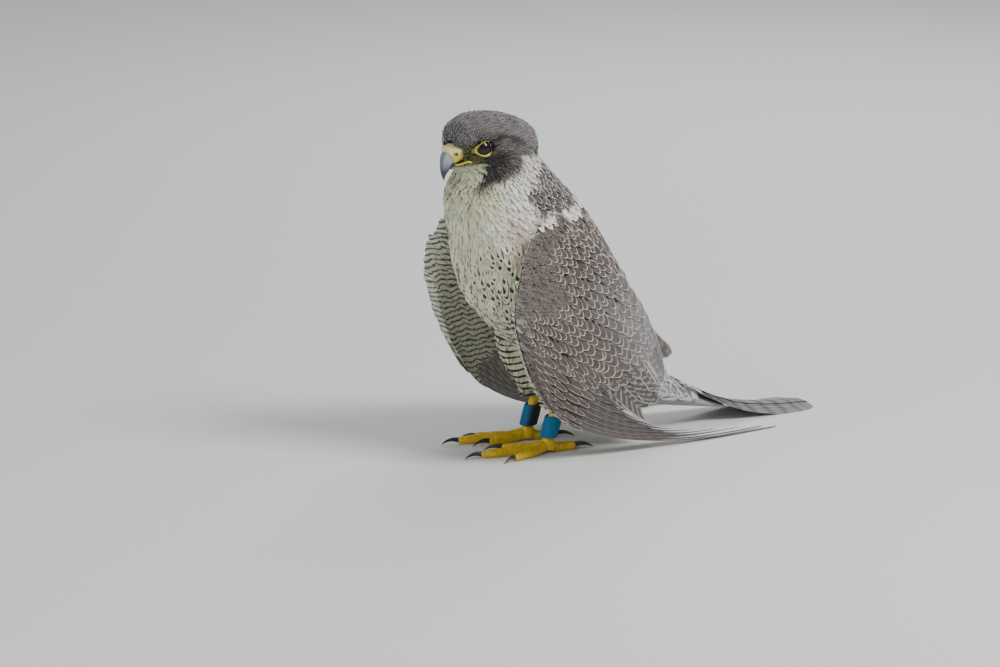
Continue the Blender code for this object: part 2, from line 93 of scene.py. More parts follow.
# Wing ribs: x, y and z in front, x, y and z at the tip, x between, both slopes and how far they hold
WING_LEFT = (
    (4.5, -1.7, 20.7, 2.9, 10.8, 5.0, 6.0, 42.0, 58.0, 6.5, 6.0),
    (5.2, -4.0, 19.7, 3.8, 9.9, 4.1, 6.5, 40.0, 54.0, 6.5, 6.0),
    (5.8, -5.7, 17.4, 4.6, 8.6, 2.9, 6.75, 40.0, 48.0, 6.5, 6.0),
    (6.3, -6.7, 15.0, 4.9, 7.4, 2.7, 6.8, 42.0, 40.0, 6.0, 6.0),
    (6.6, -7.07, 12.8, 4.6, 8.9, 1.6, 6.8, 47.0, 12.0, 6.0, 4.5),
    (6.85, -6.6, 10.2, 4.7, 13.0, 0.8, 6.7, 50.0, 4.0, 7.5, 7.0),
    (6.85, -5.6, 7.6, 5.2, 17.6, 0.4, 6.6, 52.0, 1.0, 8.0, 9.0),
    (6.75, -4.2, 5.3, 6.3, 21.6, 0.15, 6.9, 50.0, 0.0, 6.4, 9.0),
)
WING_RIGHT = (
    (4.6, -1.4, 21.0, 2.0, 15.0, 5.2, 6.3, 38.0, 50.0, 7.0, 6.5),
    (5.6, -3.7, 20.5, 3.1, 13.2, 4.2, 6.9, 38.0, 50.0, 7.0, 6.5),
    (6.6, -5.4, 18.8, 4.3, 11.2, 3.2, 7.4, 40.0, 46.0, 6.5, 6.0),
    (7.3, -6.4, 16.8, 5.2, 9.0, 2.9, 7.6, 44.0, 38.0, 6.5, 6.0),
    (7.6, -6.6, 14.6, 5.0, 10.3, 1.7, 7.7, 50.0, 12.0, 6.5, 4.5),
    (7.8, -5.9, 11.9, 5.0, 13.4, 0.8, 7.6, 56.0, 4.0, 8.0, 7.0),
    (7.8, -4.8, 9.2, 5.4, 17.0, 0.4, 7.4, 58.0, 1.0, 8.5, 9.0),
    (7.7, -3.5, 6.8, 6.4, 20.8, 0.15, 7.5, 58.0, 0.0, 7.6, 9.0),
)
# Share of each rib that the coverts take up
COVERT_ENDS = (0.76, 0.76, 0.76, 0.72, 0.52, 0.38, 0.27, 0.20)
FIRST_PRIMARY = 3.5
LAST_RIB = 7.0
ARM_THICKNESS = 1.05
ARM_EDGE = 0.30
ARM_RISE = 0.14
COVERT_THICKNESS = 0.34

FOOT_LEFT = np.array((2.35, -0.85, 0.0))
FOOT_RIGHT = np.array((-2.15, 0.25, 0.0))
# Side, foot, turn of the foot in degrees, spread of the toes and sign
STANCE = (("left", FOOT_LEFT, 12.0, 1.0, 1), ("right", FOOT_RIGHT, 19.0, 0.6, -1))
SHIN_START = 1.16
SHIN_END = 4.9
SHIN_LEAN = 1.15

# Toe, turn in degrees, length, radius at the root and at the end, and length of the claw
TOES = (
    ("back", 180.0, 2.3, 0.44, 0.36, 1.9),
    ("inner", 26.0, 3.7, 0.44, 0.34, 1.8),
    ("middle", 0.0, 5.9, 0.46, 0.34, 1.7),
    ("outer", -28.0, 4.3, 0.42, 0.32, 1.5),
)
# Cere and bill rows: forward and up of the ridge, forward and up of the lower edge, half width
CERE = (
    (1.1, 0.60, 0.9, -0.95, 0.85),
    (1.80, 0.80, 1.35, -1.0, 0.86),
    (2.22, 0.52, 1.75, -1.0, 0.81),
    (2.45, 0.12, 2.05, -1.03, 0.73),
)
BILL_UPPER = (
    (2.50, 0.07, 2.10, -1.06, 0.70),
    (2.79, -0.26, 2.27, -1.17, 0.62),
    (3.00, -0.82, 2.42, -1.36, 0.47),
    (3.10, -1.34, 2.60, -1.60, 0.33),
    (3.11, -1.78, 2.83, -1.88, 0.18),
)
BILL_UPPER_TIP = (3.0, -2.28)
BILL_LOWER = (
    (0.8, -1.12, 0.9, -1.55, 0.62),
    (1.4, -1.12, 1.4, -1.62, 0.60),
    (1.82, -1.17, 1.82, -1.60, 0.49),
    (2.12, -1.29, 2.07, -1.57, 0.33),
)
BILL_LOWER_TIP = (2.3, -1.47)
NOSTRIL = np.array((2.03, -0.12, 0.97))

COAT_DEPTH = 0.24  # how far the skin lies under the feathers' outer face
EYE_OPENING_FORWARD = 0.18
EYE_OPENING = (0.90, 0.62)
BARE_FACE = (1.08, 0.78)
HEAD_TRIES = 42000
BODY_TRIES = 60000
TAIL_COVERTS_END = 17.5
THIGH_LIE = (0.0, 0.12, -1.0)
CREASE_ROUNDS = 60
BODY_VOXEL = 0.0017
GUIDE_VOXEL = 0.0020
GUIDE_DEPTH = 0.04

# The camera: the photograph's viewing angle and framing

CAMERA_AZIMUTH = math.radians(55.0)
CAMERA_ELEVATION = math.radians(12.7)
CAMERA_TARGET = (-0.0311, -0.1035, 0.0906)
PHOTO_WIDTH_METRES = 0.8333
CAMERA_DISTANCE = 6.0
SENSOR_WIDTH = 36.0
FLOOR_HALF = 6.0
AMBIENT_STRENGTH = 0.45
LIGHT_TARGET = (0.0, -0.05, 0.15)

# Linear colours of the plumage and the bare parts

SLATE = (0.146, 0.133, 0.138)
SLATE_PALE = (0.36, 0.335, 0.34)
BROWN = (0.105, 0.088, 0.082)
BROWN_WARM = (0.112, 0.092, 0.084)
BROWN_FRINGE = (0.52, 0.47, 0.435)
GREY_BACK = (0.235, 0.225, 0.225)
GREY_FRINGE = (0.47, 0.46, 0.45)
BLACKISH = (0.022, 0.020, 0.022)
MOUSTACHE = (0.050, 0.044, 0.044)
EAR_BROWN = (0.125, 0.108, 0.100)
EAR_FRINGE = (0.26, 0.235, 0.22)
UNDER_EAR = (0.30, 0.28, 0.24)
UNDER_EAR_FRINGE = (0.42, 0.40, 0.36)
LORE = (0.085, 0.085, 0.038)
LORE_FRINGE = (0.16, 0.16, 0.07)
WHITE = (0.80, 0.78, 0.73)
CREAM = (0.66, 0.65, 0.50)
# Cream of the throat, darker and greener by painted shade and painted green reflected light
THROAT_CREAM_WITH_PAINTED_GREEN_SHADE = (0.60, 0.61, 0.42)
BELLY = (0.60, 0.60, 0.44)
RUSTY = (0.50, 0.36, 0.26)
MARK = (0.040, 0.036, 0.036)
RUMP_PALE = (0.56, 0.56, 0.56)
RUMP_FRINGE = (0.72, 0.72, 0.72)
RUMP_MARK = (0.13, 0.13, 0.14)
TAIL_ROOT_FRINGE = (0.72, 0.72, 0.70)
# Whitish flecks of the wrist: pale feathers and a painted highlight on the wing's bend
WRIST_FLECK_AND_HIGHLIGHT = (0.42, 0.40, 0.38)
TERTIAL_GREY = (0.17, 0.16, 0.16)
SHAFT_DARK = (0.012, 0.010, 0.010)
QUILL = (0.092, 0.080, 0.077)
QUILL_FRINGE = (0.44, 0.40, 0.37)
QUILL_SPOT = (0.30, 0.29, 0.28)
UNDERWING = (0.56, 0.56, 0.44)
UNDERWING_MARK = (0.10, 0.09, 0.08)
UNDER_QUILL = (0.185, 0.168, 0.155)
TAIL_GREY = (0.23, 0.23, 0.235)
TAIL_FRINGE = (0.50, 0.49, 0.47)
TAIL_MARK = (0.075, 0.072, 0.075)
# Skin round the eye, dark like the feathers there and their painted shadow
FACE_DARK_WITH_PAINTED_SHADOW = (0.036, 0.032, 0.030)
CERE_YELLOW = (0.72, 0.50, 0.035)
# Pale cream of the cere, lifted towards white by a painted highlight
CERE_PALE_AND_HIGHLIGHT = (0.86, 0.78, 0.50)
CERE_GREEN = (0.30, 0.27, 0.03)
# Dark of the nostril's opening: painted shade in the dent
NOSTRIL_PAINTED_SHADE = (0.02, 0.015, 0.01)
LID_YELLOW = (0.60, 0.50, 0.022)
# Dull green of the ring's front; painted shade on the ring's top also darkens it towards this
LID_OLIVE = (0.13, 0.135, 0.018)
FOOT_YELLOW = (0.66, 0.42, 0.012)
BILL_BASE = (0.30, 0.33, 0.42)
BILL_TIP = (0.030, 0.032, 0.042)
CLAW_BLACK = (0.018, 0.016, 0.018)
IRIS = (0.016, 0.007, 0.004)
PUPIL = (0.004, 0.003, 0.003)
EYE_RIM = (0.006, 0.004, 0.003)
EYE_BACK = (0.003, 0.003, 0.003)
ANKLET_BLUE = (0.004, 0.120, 0.260)
# Near-black of the right cuff: its dark part together with painted shadow
ANKLET_BLACK_AND_PAINTED_SHADOW = (0.012, 0.014, 0.024)
FLOOR_PALE = (0.72, 0.72, 0.71)
AMBIENT = (0.80, 0.85, 0.92)


def world(points):
    """Design centimetres to the frame's metres."""
    return (np.asarray(points, dtype=float) - ORIGIN) * CM


def clamp01(x):
    return np.clip(x, 0.0, 1.0)


def smoothstep(low, high, x):
    t = clamp01((x - low) / (high - low))
    return t * t * (3.0 - 2.0 * t)


def mix(a, b, share):
    share = np.asarray(share)[..., None]
    return np.asarray(a) * (1.0 - share) + np.asarray(b) * share


def unit(vectors):
    return vectors / np.maximum(np.linalg.norm(vectors, axis=-1, keepdims=True), 1e-9)


def smooth_rows(rows, places):
    """Values at fractional row numbers, on smooth curves through all the rows."""
    table = np.asarray(rows, dtype=float)
    last = len(table) - 1
    places = np.asarray(places, dtype=float)
    first = np.clip(places.astype(int), 0, last - 1)
    share = (places - first)[..., None]
    before = table[np.maximum(first - 1, 0)]
    here = table[first]
    after = table[first + 1]
    beyond = table[np.minimum(first + 2, last)]
    bend = 2 * before - 5 * here + 4 * after - beyond
    twist = 3 * (here - after) + beyond - before
    return here + 0.5 * share * (after - before + share * (bend + share * twist))


def turned(a, b, angle):
    """Two parts of a direction after a turn in their plane."""
    return a * math.cos(angle) - b * math.sin(angle), a * math.sin(angle) + b * math.cos(angle)


def rotate_head(vectors):
    """Turns a direction from the head's own axes into the bird's."""
    x, y, z = vectors[..., 0], vectors[..., 1], vectors[..., 2]
    y, z = turned(y, z, HEAD_PITCH)
    x, y = turned(x, y, HEAD_YAW)
    return np.stack((x, y, z), axis=-1)


def in_head(forward, up, side=0.0):
    """A design point from forward, up and side lengths measured from between the eyes."""
    forward, up, side = np.broadcast_arrays(
        np.asarray(forward, float), np.asarray(up, float), np.asarray(side, float)
    )
    return BETWEEN_EYES + rotate_head(np.stack((side, -forward, up), axis=-1))


def head_place(points):
    """Forward, up and side of design points, measured in the head's own axes."""
    v = np.asarray(points) - BETWEEN_EYES
    x, y = turned(v[..., 0], v[..., 1], -HEAD_YAW)
    y, z = turned(y, v[..., 2], -HEAD_PITCH)
    return -y, z, x


def wing_points(rows, ribs, alongs, side):
    """Points of a wing's outer face at rib numbers and shares of the way to the feather tips.

    A rib is a curve from its front point to its tip. Its row gives both points, the side reach of the
    curve's two steering points, the slopes at both ends in degrees and how far each slope holds.
    """
    ribs, alongs = np.broadcast_arrays(np.asarray(ribs, float), np.asarray(alongs, float))
    v = smooth_rows(rows, np.clip(ribs, 0.0, LAST_RIB))
    front = v[..., 0:3]
    tip = v[..., 3:6]
    reach = v[..., 6]
    slope, end_slope = np.radians(v[..., 7]), np.radians(v[..., 8])
    hold, end_hold = v[..., 9], v[..., 10]
    leaving = np.stack((reach, v[..., 1] + hold * np.cos(slope), v[..., 2] - hold * np.sin(slope)), -1)
    arriving_y = v[..., 4] - end_hold * np.cos(end_slope)
    arriving_z = v[..., 5] + end_hold * np.sin(end_slope)
    arriving = np.stack((reach, arriving_y, arriving_z), -1)
    t = alongs[..., None]
    s = 1.0 - t
    points = front * s**3 + leaving * 3 * s * s * t + arriving * 3 * s * t * t + tip * t**3
    return points * np.array((side, 1.0, 1.0))


def wing_frame(rows, ribs, alongs, side):
    """Point, direction to the tips and outward normal of a wing's outer face."""
    step = 0.02
    ribs = np.asarray(ribs, float)
    alongs = np.asarray(alongs, float)
    low = np.clip(ribs - step, 0.0, LAST_RIB)
    high = np.clip(ribs + step, 0.0, LAST_RIB)
    across = wing_points(rows, high, alongs, side) - wing_points(rows, low, alongs, side)
    near = np.clip(alongs - step, 0.0, 1.0)
    far = np.clip(alongs + step, 0.0, 1.0)
    down = unit(wing_points(rows, ribs, far, side) - wing_points(rows, ribs, near, side))
    return wing_points(rows, ribs, alongs, side), down, unit(np.cross(across, down)) * side


def covert_end(ribs):
    """Share of a rib's length that the coverts take up."""
    return smooth_rows([(end,) for end in COVERT_ENDS], np.clip(ribs, 0.0, LAST_RIB))[..., 0]


def arm_thickness(share):
    """Thickness of the wing at a share of the covert length: a rounded front edge, then thinner."""
    rise = ARM_EDGE + (ARM_THICKNESS - ARM_EDGE) * np.sin(np.pi / 2 * clamp01(share / ARM_RISE))
    behind = clamp01((share - ARM_RISE) / (1.0 - ARM_RISE))
    fade = COVERT_THICKNESS + (ARM_THICKNESS - COVERT_THICKNESS) * (1.0 - behind) ** 1.3
    return np.where(share < ARM_RISE, rise, fade)


# Materials


class Nodes:
    """Short calls that add and join shader nodes."""

    def __init__(self, name):
        self.mat = bpy.data.materials.new(name)
        self.mat.use_nodes = True
        self.tree = self.mat.node_tree
        self.shader = self.tree.nodes["Principled BSDF"]

    def add(self, kind, inputs=None, **settings):
        node = self.tree.nodes.new(kind)
        for key, value in settings.items():
            setattr(node, key, value)
        for key, value in (inputs or {}).items():
            self.feed(node.inputs[key], value)
        return node

    def feed(self, socket, value):
        if isinstance(value, bpy.types.NodeSocket):
            self.tree.links.new(value, socket)
        elif isinstance(value, bpy.types.Node):
            self.tree.links.new(value.outputs[0], socket)
        elif isinstance(value, tuple) and len(value) == 3 and len(socket.default_value) == 4:
            socket.default_value = (*value, 1.0)
        else:
            socket.default_value = value

    def math(self, operation, a, b=0.0, c=0.0):
        node = self.add("ShaderNodeMath", operation=operation)
        for socket, value in zip(node.inputs, (a, b, c)):
            self.feed(socket, value)
        return node.outputs[0]

    def times(self, product, *others):
        for value in others:
            product = self.math("MULTIPLY", product, value)
        return product

    def line(self, value, slope, start):
        return self.math("MULTIPLY_ADD", value, slope, start)

    def less(self, a, b):
        return self.math("SUBTRACT", a, b)

    def smooth(self, value, low, high):
        inputs = {0: value, 1: low, 2: high}
        return self.add("ShaderNodeMapRange", inputs, interpolation_type="SMOOTHSTEP").outputs[0]

    def blend(self, share, a, b, mode="MIX"):
        inputs = {0: share, 6: a, 7: b}
        return self.add("ShaderNodeMix", inputs, data_type="RGBA", blend_type=mode).outputs[2]

    def shaded(self, colour, tone):
        grey = self.add("ShaderNodeCombineColor", {"Red": tone, "Green": tone, "Blue": tone})
        return self.blend(1.0, colour, grey.outputs[0], "MULTIPLY")

    def noise(self, scale, detail, roughness=0.5, vector=None):
        if vector is None:
            vector = self.add("ShaderNodeTexCoord").outputs["Object"]
        inputs = {"Vector": vector, "Scale": scale, "Detail": detail, "Roughness": roughness}
        return self.add("ShaderNodeTexNoise", inputs).outputs[0]

    def attribute(self, name):
        return self.add("ShaderNodeAttribute", attribute_name=name)

    def vector(self, name):
        """The three parts of a vector attribute."""
        return self.add("ShaderNodeSeparateXYZ", {"Vector": self.attribute(name).outputs["Vector"]}).outputs

    def surface(self, inputs, height, strength, distance):
        """Sets the shader's inputs and bumps it by the height."""
        for key, value in inputs.items():
            self.feed(self.shader.inputs[key], value)
        node = self.add("ShaderNodeBump", {"Strength": strength, "Distance": distance, "Height": height})
        self.feed(self.shader.inputs["Normal"], node)
        return self.mat


def feather_material(name, barbs, sheen, ovals=False):
    """Reads where on its vane a point lies, and draws fringe, shaft, streak or drop and bars there.

    With ovals the bars keep off the shaft and the edges, and the underside has a ground of its own.
    """
    n = Nodes(name)
    across, along, half_width = n.vector("vane")
    length, chance, under = n.vector("size")
    phase, bars, spot = n.vector("form")
    base = n.attribute("base").outputs["Color"]
    fringe = n.attribute("fringe").outputs
    mark = n.attribute("mark").outputs
    off_shaft = n.math("ABSOLUTE", across)
    from_shaft = n.times(off_shaft, half_width)
    grain = n.noise(900.0, 2.0)
    blotch = n.noise(160.0, 2.0)

    side_room = n.times(n.less(1.0, off_shaft), half_width)
    tip_room = n.times(n.less(1.0, along), length)
    room = n.math("MINIMUM", side_room, tip_room)
    ragged = n.line(grain, 0.024, n.math("ADD", room, -0.012))
    fringe_inner = n.times(fringe["Alpha"], 1.35)
    in_fringe = n.less(1.0, n.smooth(ragged, n.times(fringe_inner, 0.45), fringe_inner))
    in_fringe = n.times(in_fringe, n.smooth(fringe["Alpha"], 0.004, 0.02))

    drop_taper = n.times(n.line(spot, 0.42, 0.03), n.smooth(along, 0.40, 0.84))
    drop_side = n.smooth(n.line(grain, 0.08, n.less(off_shaft, drop_taper)), 0.09, 0.0)
    drop_end = n.smooth(n.line(off_shaft, 0.25, along), 0.93, 0.86)
    drop = n.times(drop_side, drop_end, n.smooth(spot, 0.0, 0.03), n.smooth(along, 0.12, 0.3))

    wave = n.math("SINE", n.times(phase, math.tau))
    wave = n.math("ADD", wave, n.line(blotch, 1.8, -0.9))
    bar = n.times(n.smooth(wave, 0.28, 0.62), bars)
    if ovals:
        bar = n.times(bar, n.times(n.smooth(off_shaft, 0.10, 0.30), n.smooth(off_shaft, 0.92, 0.74)))
    marked = n.math("MAXIMUM", drop, bar)

    barb_wave = n.math("SINE", n.times(n.line(off_shaft, -0.25, along), barbs * 3.0))
    streak_inputs = {"X": n.line(off_shaft, -0.5, along), "Y": n.times(chance, 37.0)}
    streak_place = n.add("ShaderNodeCombineXYZ", streak_inputs)
    streaky = n.noise(34.0, 2.0, 0.6, streak_place)
    tone = n.times(n.line(blotch, 0.34, 0.83), n.line(chance, 0.16, 0.92), n.line(streaky, 0.30, 0.85))
    ground = base
    if ovals:
        below = n.smooth(under, 0.1, 0.5)
        ground = n.blend(below, ground, UNDER_QUILL)
        pale_below = n.times(n.smooth(wave, -0.1, 0.3), below, 0.8)
        inner_below = n.times(n.smooth(off_shaft, 0.08, 0.25), n.smooth(off_shaft, 0.98, 0.8))
        marked = n.math("MAXIMUM", marked, n.times(pale_below, inner_below))
    colour = n.blend(marked, ground, mark["Color"])
    colour = n.blend(in_fringe, colour, fringe["Color"])
    rachis = n.times(n.smooth(from_shaft, 0.055, 0.02), n.smooth(along, 0.97, 0.9), mark["Alpha"])
    colour = n.blend(rachis, colour, n.blend(0.55, base, SHAFT_DARK))

    ridge = n.times(n.smooth(from_shaft, 0.12, 0.0), 1.2)
    height = n.line(barb_wave, 0.25, n.line(streaky, 0.9, ridge))
    inputs = {"Base Color": n.shaded(colour, tone), "Roughness": 0.72, "Specular IOR Level": 0.28}
    inputs.update({"Sheen Weight": sheen, "Sheen Roughness": 0.45})
    return n.surface(inputs, height, 0.45, 0.0003)


def skin_material():
    """The mesh's own colour, dull and fluffy."""
    n = Nodes("skin_under_feathers")
    fluff = n.noise(700.0, 4.0)
    colour = n.shaded(n.attribute("base").outputs["Color"], n.line(fluff, 0.5, 0.55))
    return n.surface({"Base Color": colour, "Roughness": 0.95, "Specular IOR Level": 0.1}, fluff, 0.6, 0.0006)


def bare_material(name, roughness, specular, coat, scale, bump, colour=None, spread=0.0):
    """A bare part: one colour that is uneven by the spread, or the mesh's own colour; fine grain in all."""
    n = Nodes(name)
    grain = n.noise(scale, 4.0)
    if colour is None:
        shown = n.shaded(n.attribute("base").outputs["Color"], n.line(grain, 0.5, 0.75))
    else:
        low = tuple(x * (1 - spread) for x in colour)
        high = tuple(min(1.0, x * (1 + spread)) for x in colour)
        shown = n.blend(n.smooth(grain, 0.3, 0.7), low, high)
    inputs = {"Base Color": shown, "Roughness": n.line(grain, 0.2, roughness - 0.1)}
    inputs.update({"Specular IOR Level": specular, "Coat Weight": coat})
    inputs["Coat Roughness"] = 0.15 if colour is None else 0.12
    return n.surface(inputs, grain, bump, 0.0003)


# Meshes


def make_object(name, points, faces, material, smooth_angle=50.0):
    """An object from points in metres. Faces that meet at over smooth_angle degrees keep a sharp edge."""
    mesh = bpy.data.meshes.new(name)
    mesh.from_pydata(np.asarray(points).reshape(-1, 3).tolist(), [], faces)
    mesh.materials.append(material)
    mesh.update()
    mesh.shade_smooth()
    mesh.set_sharp_from_angle(angle=math.radians(smooth_angle))
    obj = bpy.data.objects.new(name, mesh)
    bpy.context.scene.collection.objects.link(obj)
    return obj


def join_shells(shells):
    """One list of points and one of faces from several (points, faces)."""
    points = []
    faces = []
    start = 0
    for shell_points, shell_faces in shells:
        shell_points = np.asarray(shell_points).reshape(-1, 3)
        points.append(shell_points)
        faces.extend([tuple(int(i) + start for i in face) for face in shell_faces])
        start += len(shell_points)
    return np.concatenate(points), faces


def ring_faces(rows, around, closed=False):
    """Faces between neighbouring rings, and from the last ring to the first one if closed."""
    faces = []
    for k in range(rows if closed else rows - 1):
        n = (k + 1) % rows
        for i in range(around):
            j = (i + 1) % around
            faces.append((k * around + i, k * around + j, n * around + j, n * around + i))
    return faces


def loft(rings):
    """A shell through rings (rows, around, 3), with a fan to a middle point at each end."""
    rings = np.asarray(rings, dtype=float)
    rows, around = rings.shape[:2]
    points = [rings.reshape(-1, 3), rings[0].mean(axis=0)[None], rings[-1].mean(axis=0)[None]]
    faces = ring_faces(rows, around)
    count = rows * around
    last = count - around
    faces.extend([(count, (i + 1) % around, i) for i in range(around)])
    faces.extend([(count + 1, last + i, last + (i + 1) % around) for i in range(around)])
    return np.concatenate(points), faces


def turned_out(obj):
    mesh = bmesh.new()
    mesh.from_mesh(obj.data)
    bmesh.ops.recalc_face_normals(mesh, faces=mesh.faces)
    mesh.to_mesh(obj.data)
    mesh.free()
    return obj


def colour_attribute(mesh, name, values):
    values = np.asarray(values, dtype=np.float32)
    if values.shape[-1] == 3:
        values = np.concatenate((values, np.ones((*values.shape[:-1], 1), np.float32)), axis=-1)
    layer = mesh.attributes.new(name, "FLOAT_COLOR", "POINT")
    layer.data.foreach_set("color", values.ravel())


def vector_attribute(mesh, name, values):
    layer = mesh.attributes.new(name, "FLOAT_VECTOR", "POINT")
    layer.data.foreach_set("vector", np.asarray(values, dtype=np.float32).ravel())


def finish_piece(obj, replaces=()):
    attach(obj, "root")
    if replaces:
        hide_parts(*replaces)


def bare_piece(name, shell, faces, material, slot, replaces=(), tint=None, smooth_angle=80.0):
    """A piece of a bare part from a shell in design lengths, with a colour for each point if given."""
    obj = turned_out(make_object(name, world(shell), faces, MATERIALS[material], smooth_angle))
    if tint is not None:
        colour_attribute(obj.data, "base", tint)
    finish_piece(obj, replaces)


def add_modifier(obj, kind, **settings):
    modifier = obj.modifiers.new(kind.lower(), kind)
    for key, value in settings.items():
        setattr(modifier, key, value)


def settled(obj):
    """Applies an object's modifiers."""
    graph = bpy.context.evaluated_depsgraph_get()
    mesh = bpy.data.meshes.new_from_object(obj.evaluated_get(graph))
    old = obj.data
    obj.modifiers.clear()
    obj.data = mesh
    bpy.data.meshes.remove(old)


def vertex_values(mesh, name):
    """The place or normal of every vertex, in metres."""
    values = np.zeros(len(mesh.vertices) * 3)
    mesh.vertices.foreach_get(name, values)
    return values.reshape(-1, 3)


def move_vertices(mesh, places):
    mesh.vertices.foreach_set("co", places.ravel())
    mesh.update()


# The surface that the coat follows

FLESH = ("head", "neck", "trunk", "rump", "thigh_left", "thigh_right")
ARMS = ("wing_left_arm", "wing_right_arm")


def node_shell(name, grow=0.0):
    """Points in metres and faces of a CAD node, moved out along its normals by grow."""
    mesh = bmesh.new()
    mesh.from_mesh(frame["nodes"][name].data)
    bmesh.ops.remove_doubles(mesh, verts=mesh.verts, dist=1e-6)
    mesh.normal_update()
    points = np.array([vertex.co + vertex.normal * grow for vertex in mesh.verts])
    faces = [tuple(vertex.index for vertex in face.verts) for face in mesh.faces]
    mesh.free()
    return points, faces


def melted(name, shells, voxel, smoothing, inward=0.0):
    """One closed surface round all the shells, with its gaps closed and its facets smoothed."""
    points, faces = join_shells(shells)
    obj = make_object(name, points, faces, MATERIALS["skin"])
    add_modifier(obj, "REMESH", mode="VOXEL", voxel_size=voxel)
    settled(obj)
    over = torso_place(mesh_points(obj))[2]
    crease = obj.vertex_groups.new(name="crease")
    for index, weight in enumerate(np.exp(-((over / 1.3) ** 2))):
        if weight > 0.03:
            crease.add([index], float(weight), "REPLACE")
    for rounds, group in ((smoothing, ""), (CREASE_ROUNDS, "crease")):
        add_modifier(obj, "SMOOTH", iterations=rounds, factor=0.5, vertex_group=group)
    settled(obj)
    if inward:
        mesh = obj.data
        move_vertices(mesh, vertex_values(mesh, "co") - vertex_values(mesh, "normal") * inward)
    return obj


def mesh_points(obj):
    """An object's vertices in design lengths."""
    return vertex_values(obj.data, "co") / CM + ORIGIN


class Guide:
    """Nearest places on a surface, in design lengths."""

    def __init__(self, points, faces):
        self.tree = BVHTree.FromPolygons([tuple(p) for p in points], faces)

    def nearest(self, points):
        shape = np.shape(points)
        places = []
        normals = []
        for p in np.reshape(points, (-1, 3)):
            place, normal, _, _ = self.tree.find_nearest(p)
            places.append(place)
            normals.append(normal)
        return np.reshape(places, shape), np.reshape(normals, shape)

    def distance(self, points):
        return np.array([self.tree.find_nearest(p)[3] for p in points])


def torso_place(points):
    """Row number along the torso, angle from the back (left side positive) and height over the first row."""
    steps = np.linspace(0.0, 10.0, 161)
    rows = smooth_rows(TORSO, steps)
    back = rows[:, 0:2]
    front = rows[:, 2:4]
    half_width = rows[:, 4]
    middle = (back + front) / 2
    reach = front - back
    depth = np.linalg.norm(reach, axis=1) / 2
    reach = reach / (2 * depth[:, None])
    ahead = np.stack((-reach[:, 1], reach[:, 0]), axis=1)
    ahead *= np.where(ahead[:, 1:2] > 0, -1.0, 1.0)
    yz = points[:, 1:3]
    signed = np.einsum("nkd,kd->nk", yz[:, None, :] - middle[None], ahead)
    away = np.linalg.norm(yz[:, None, :] - middle[None], axis=2) / np.maximum(depth, half_width)
    score = np.abs(signed) + 3.0 * np.maximum(away - 1.25, 0.0)
    best = np.argmin(score, axis=1)
    n = np.arange(len(points))
    place = steps[best]
    frontward = np.einsum("nd,nd->n", yz - middle[best], reach[best]) / depth[best]
    sideways = points[:, 0] / half_width[best]
    angle = np.degrees(np.arctan2(sideways, -frontward))
    return place, angle, -signed[n, 0]


# Vanes


def vane_faces(rows, columns):
    """Faces of one closed blade: columns over the top, columns - 2 under it, and a strip at each end."""
    around = 2 * columns - 2
    faces = []
    for k in range(rows - 1):
        for i in range(around):
            j = (i + 1) % around
            faces.append((k * around + i, (k + 1) * around + i, (k + 1) * around + j, k * around + j))
    for base, turn in ((0, 1), ((rows - 1) * around, -1)):
        for i in range(columns - 1):
            ring = [i, i + 1]
            if i + 1 < columns - 1:
                ring.append(around - (i + 1))
            if i > 0:
                ring.append(around - i)
            faces.append(tuple(base + index for index in ring)[::turn])
    return faces


class Laid:
    """Vanes laid on a surface: top faces, normals, row and column places, width shares and sizes.

    The top faces and the normals are arrays (vanes, rows, columns, 3).
    """

    def __init__(self, top, outward, t, c, share, length, width):
        self.top = top
        self.outward = outward
        self.t = t
        self.c = c
        self.share = share
        self.length = length
        self.width = width


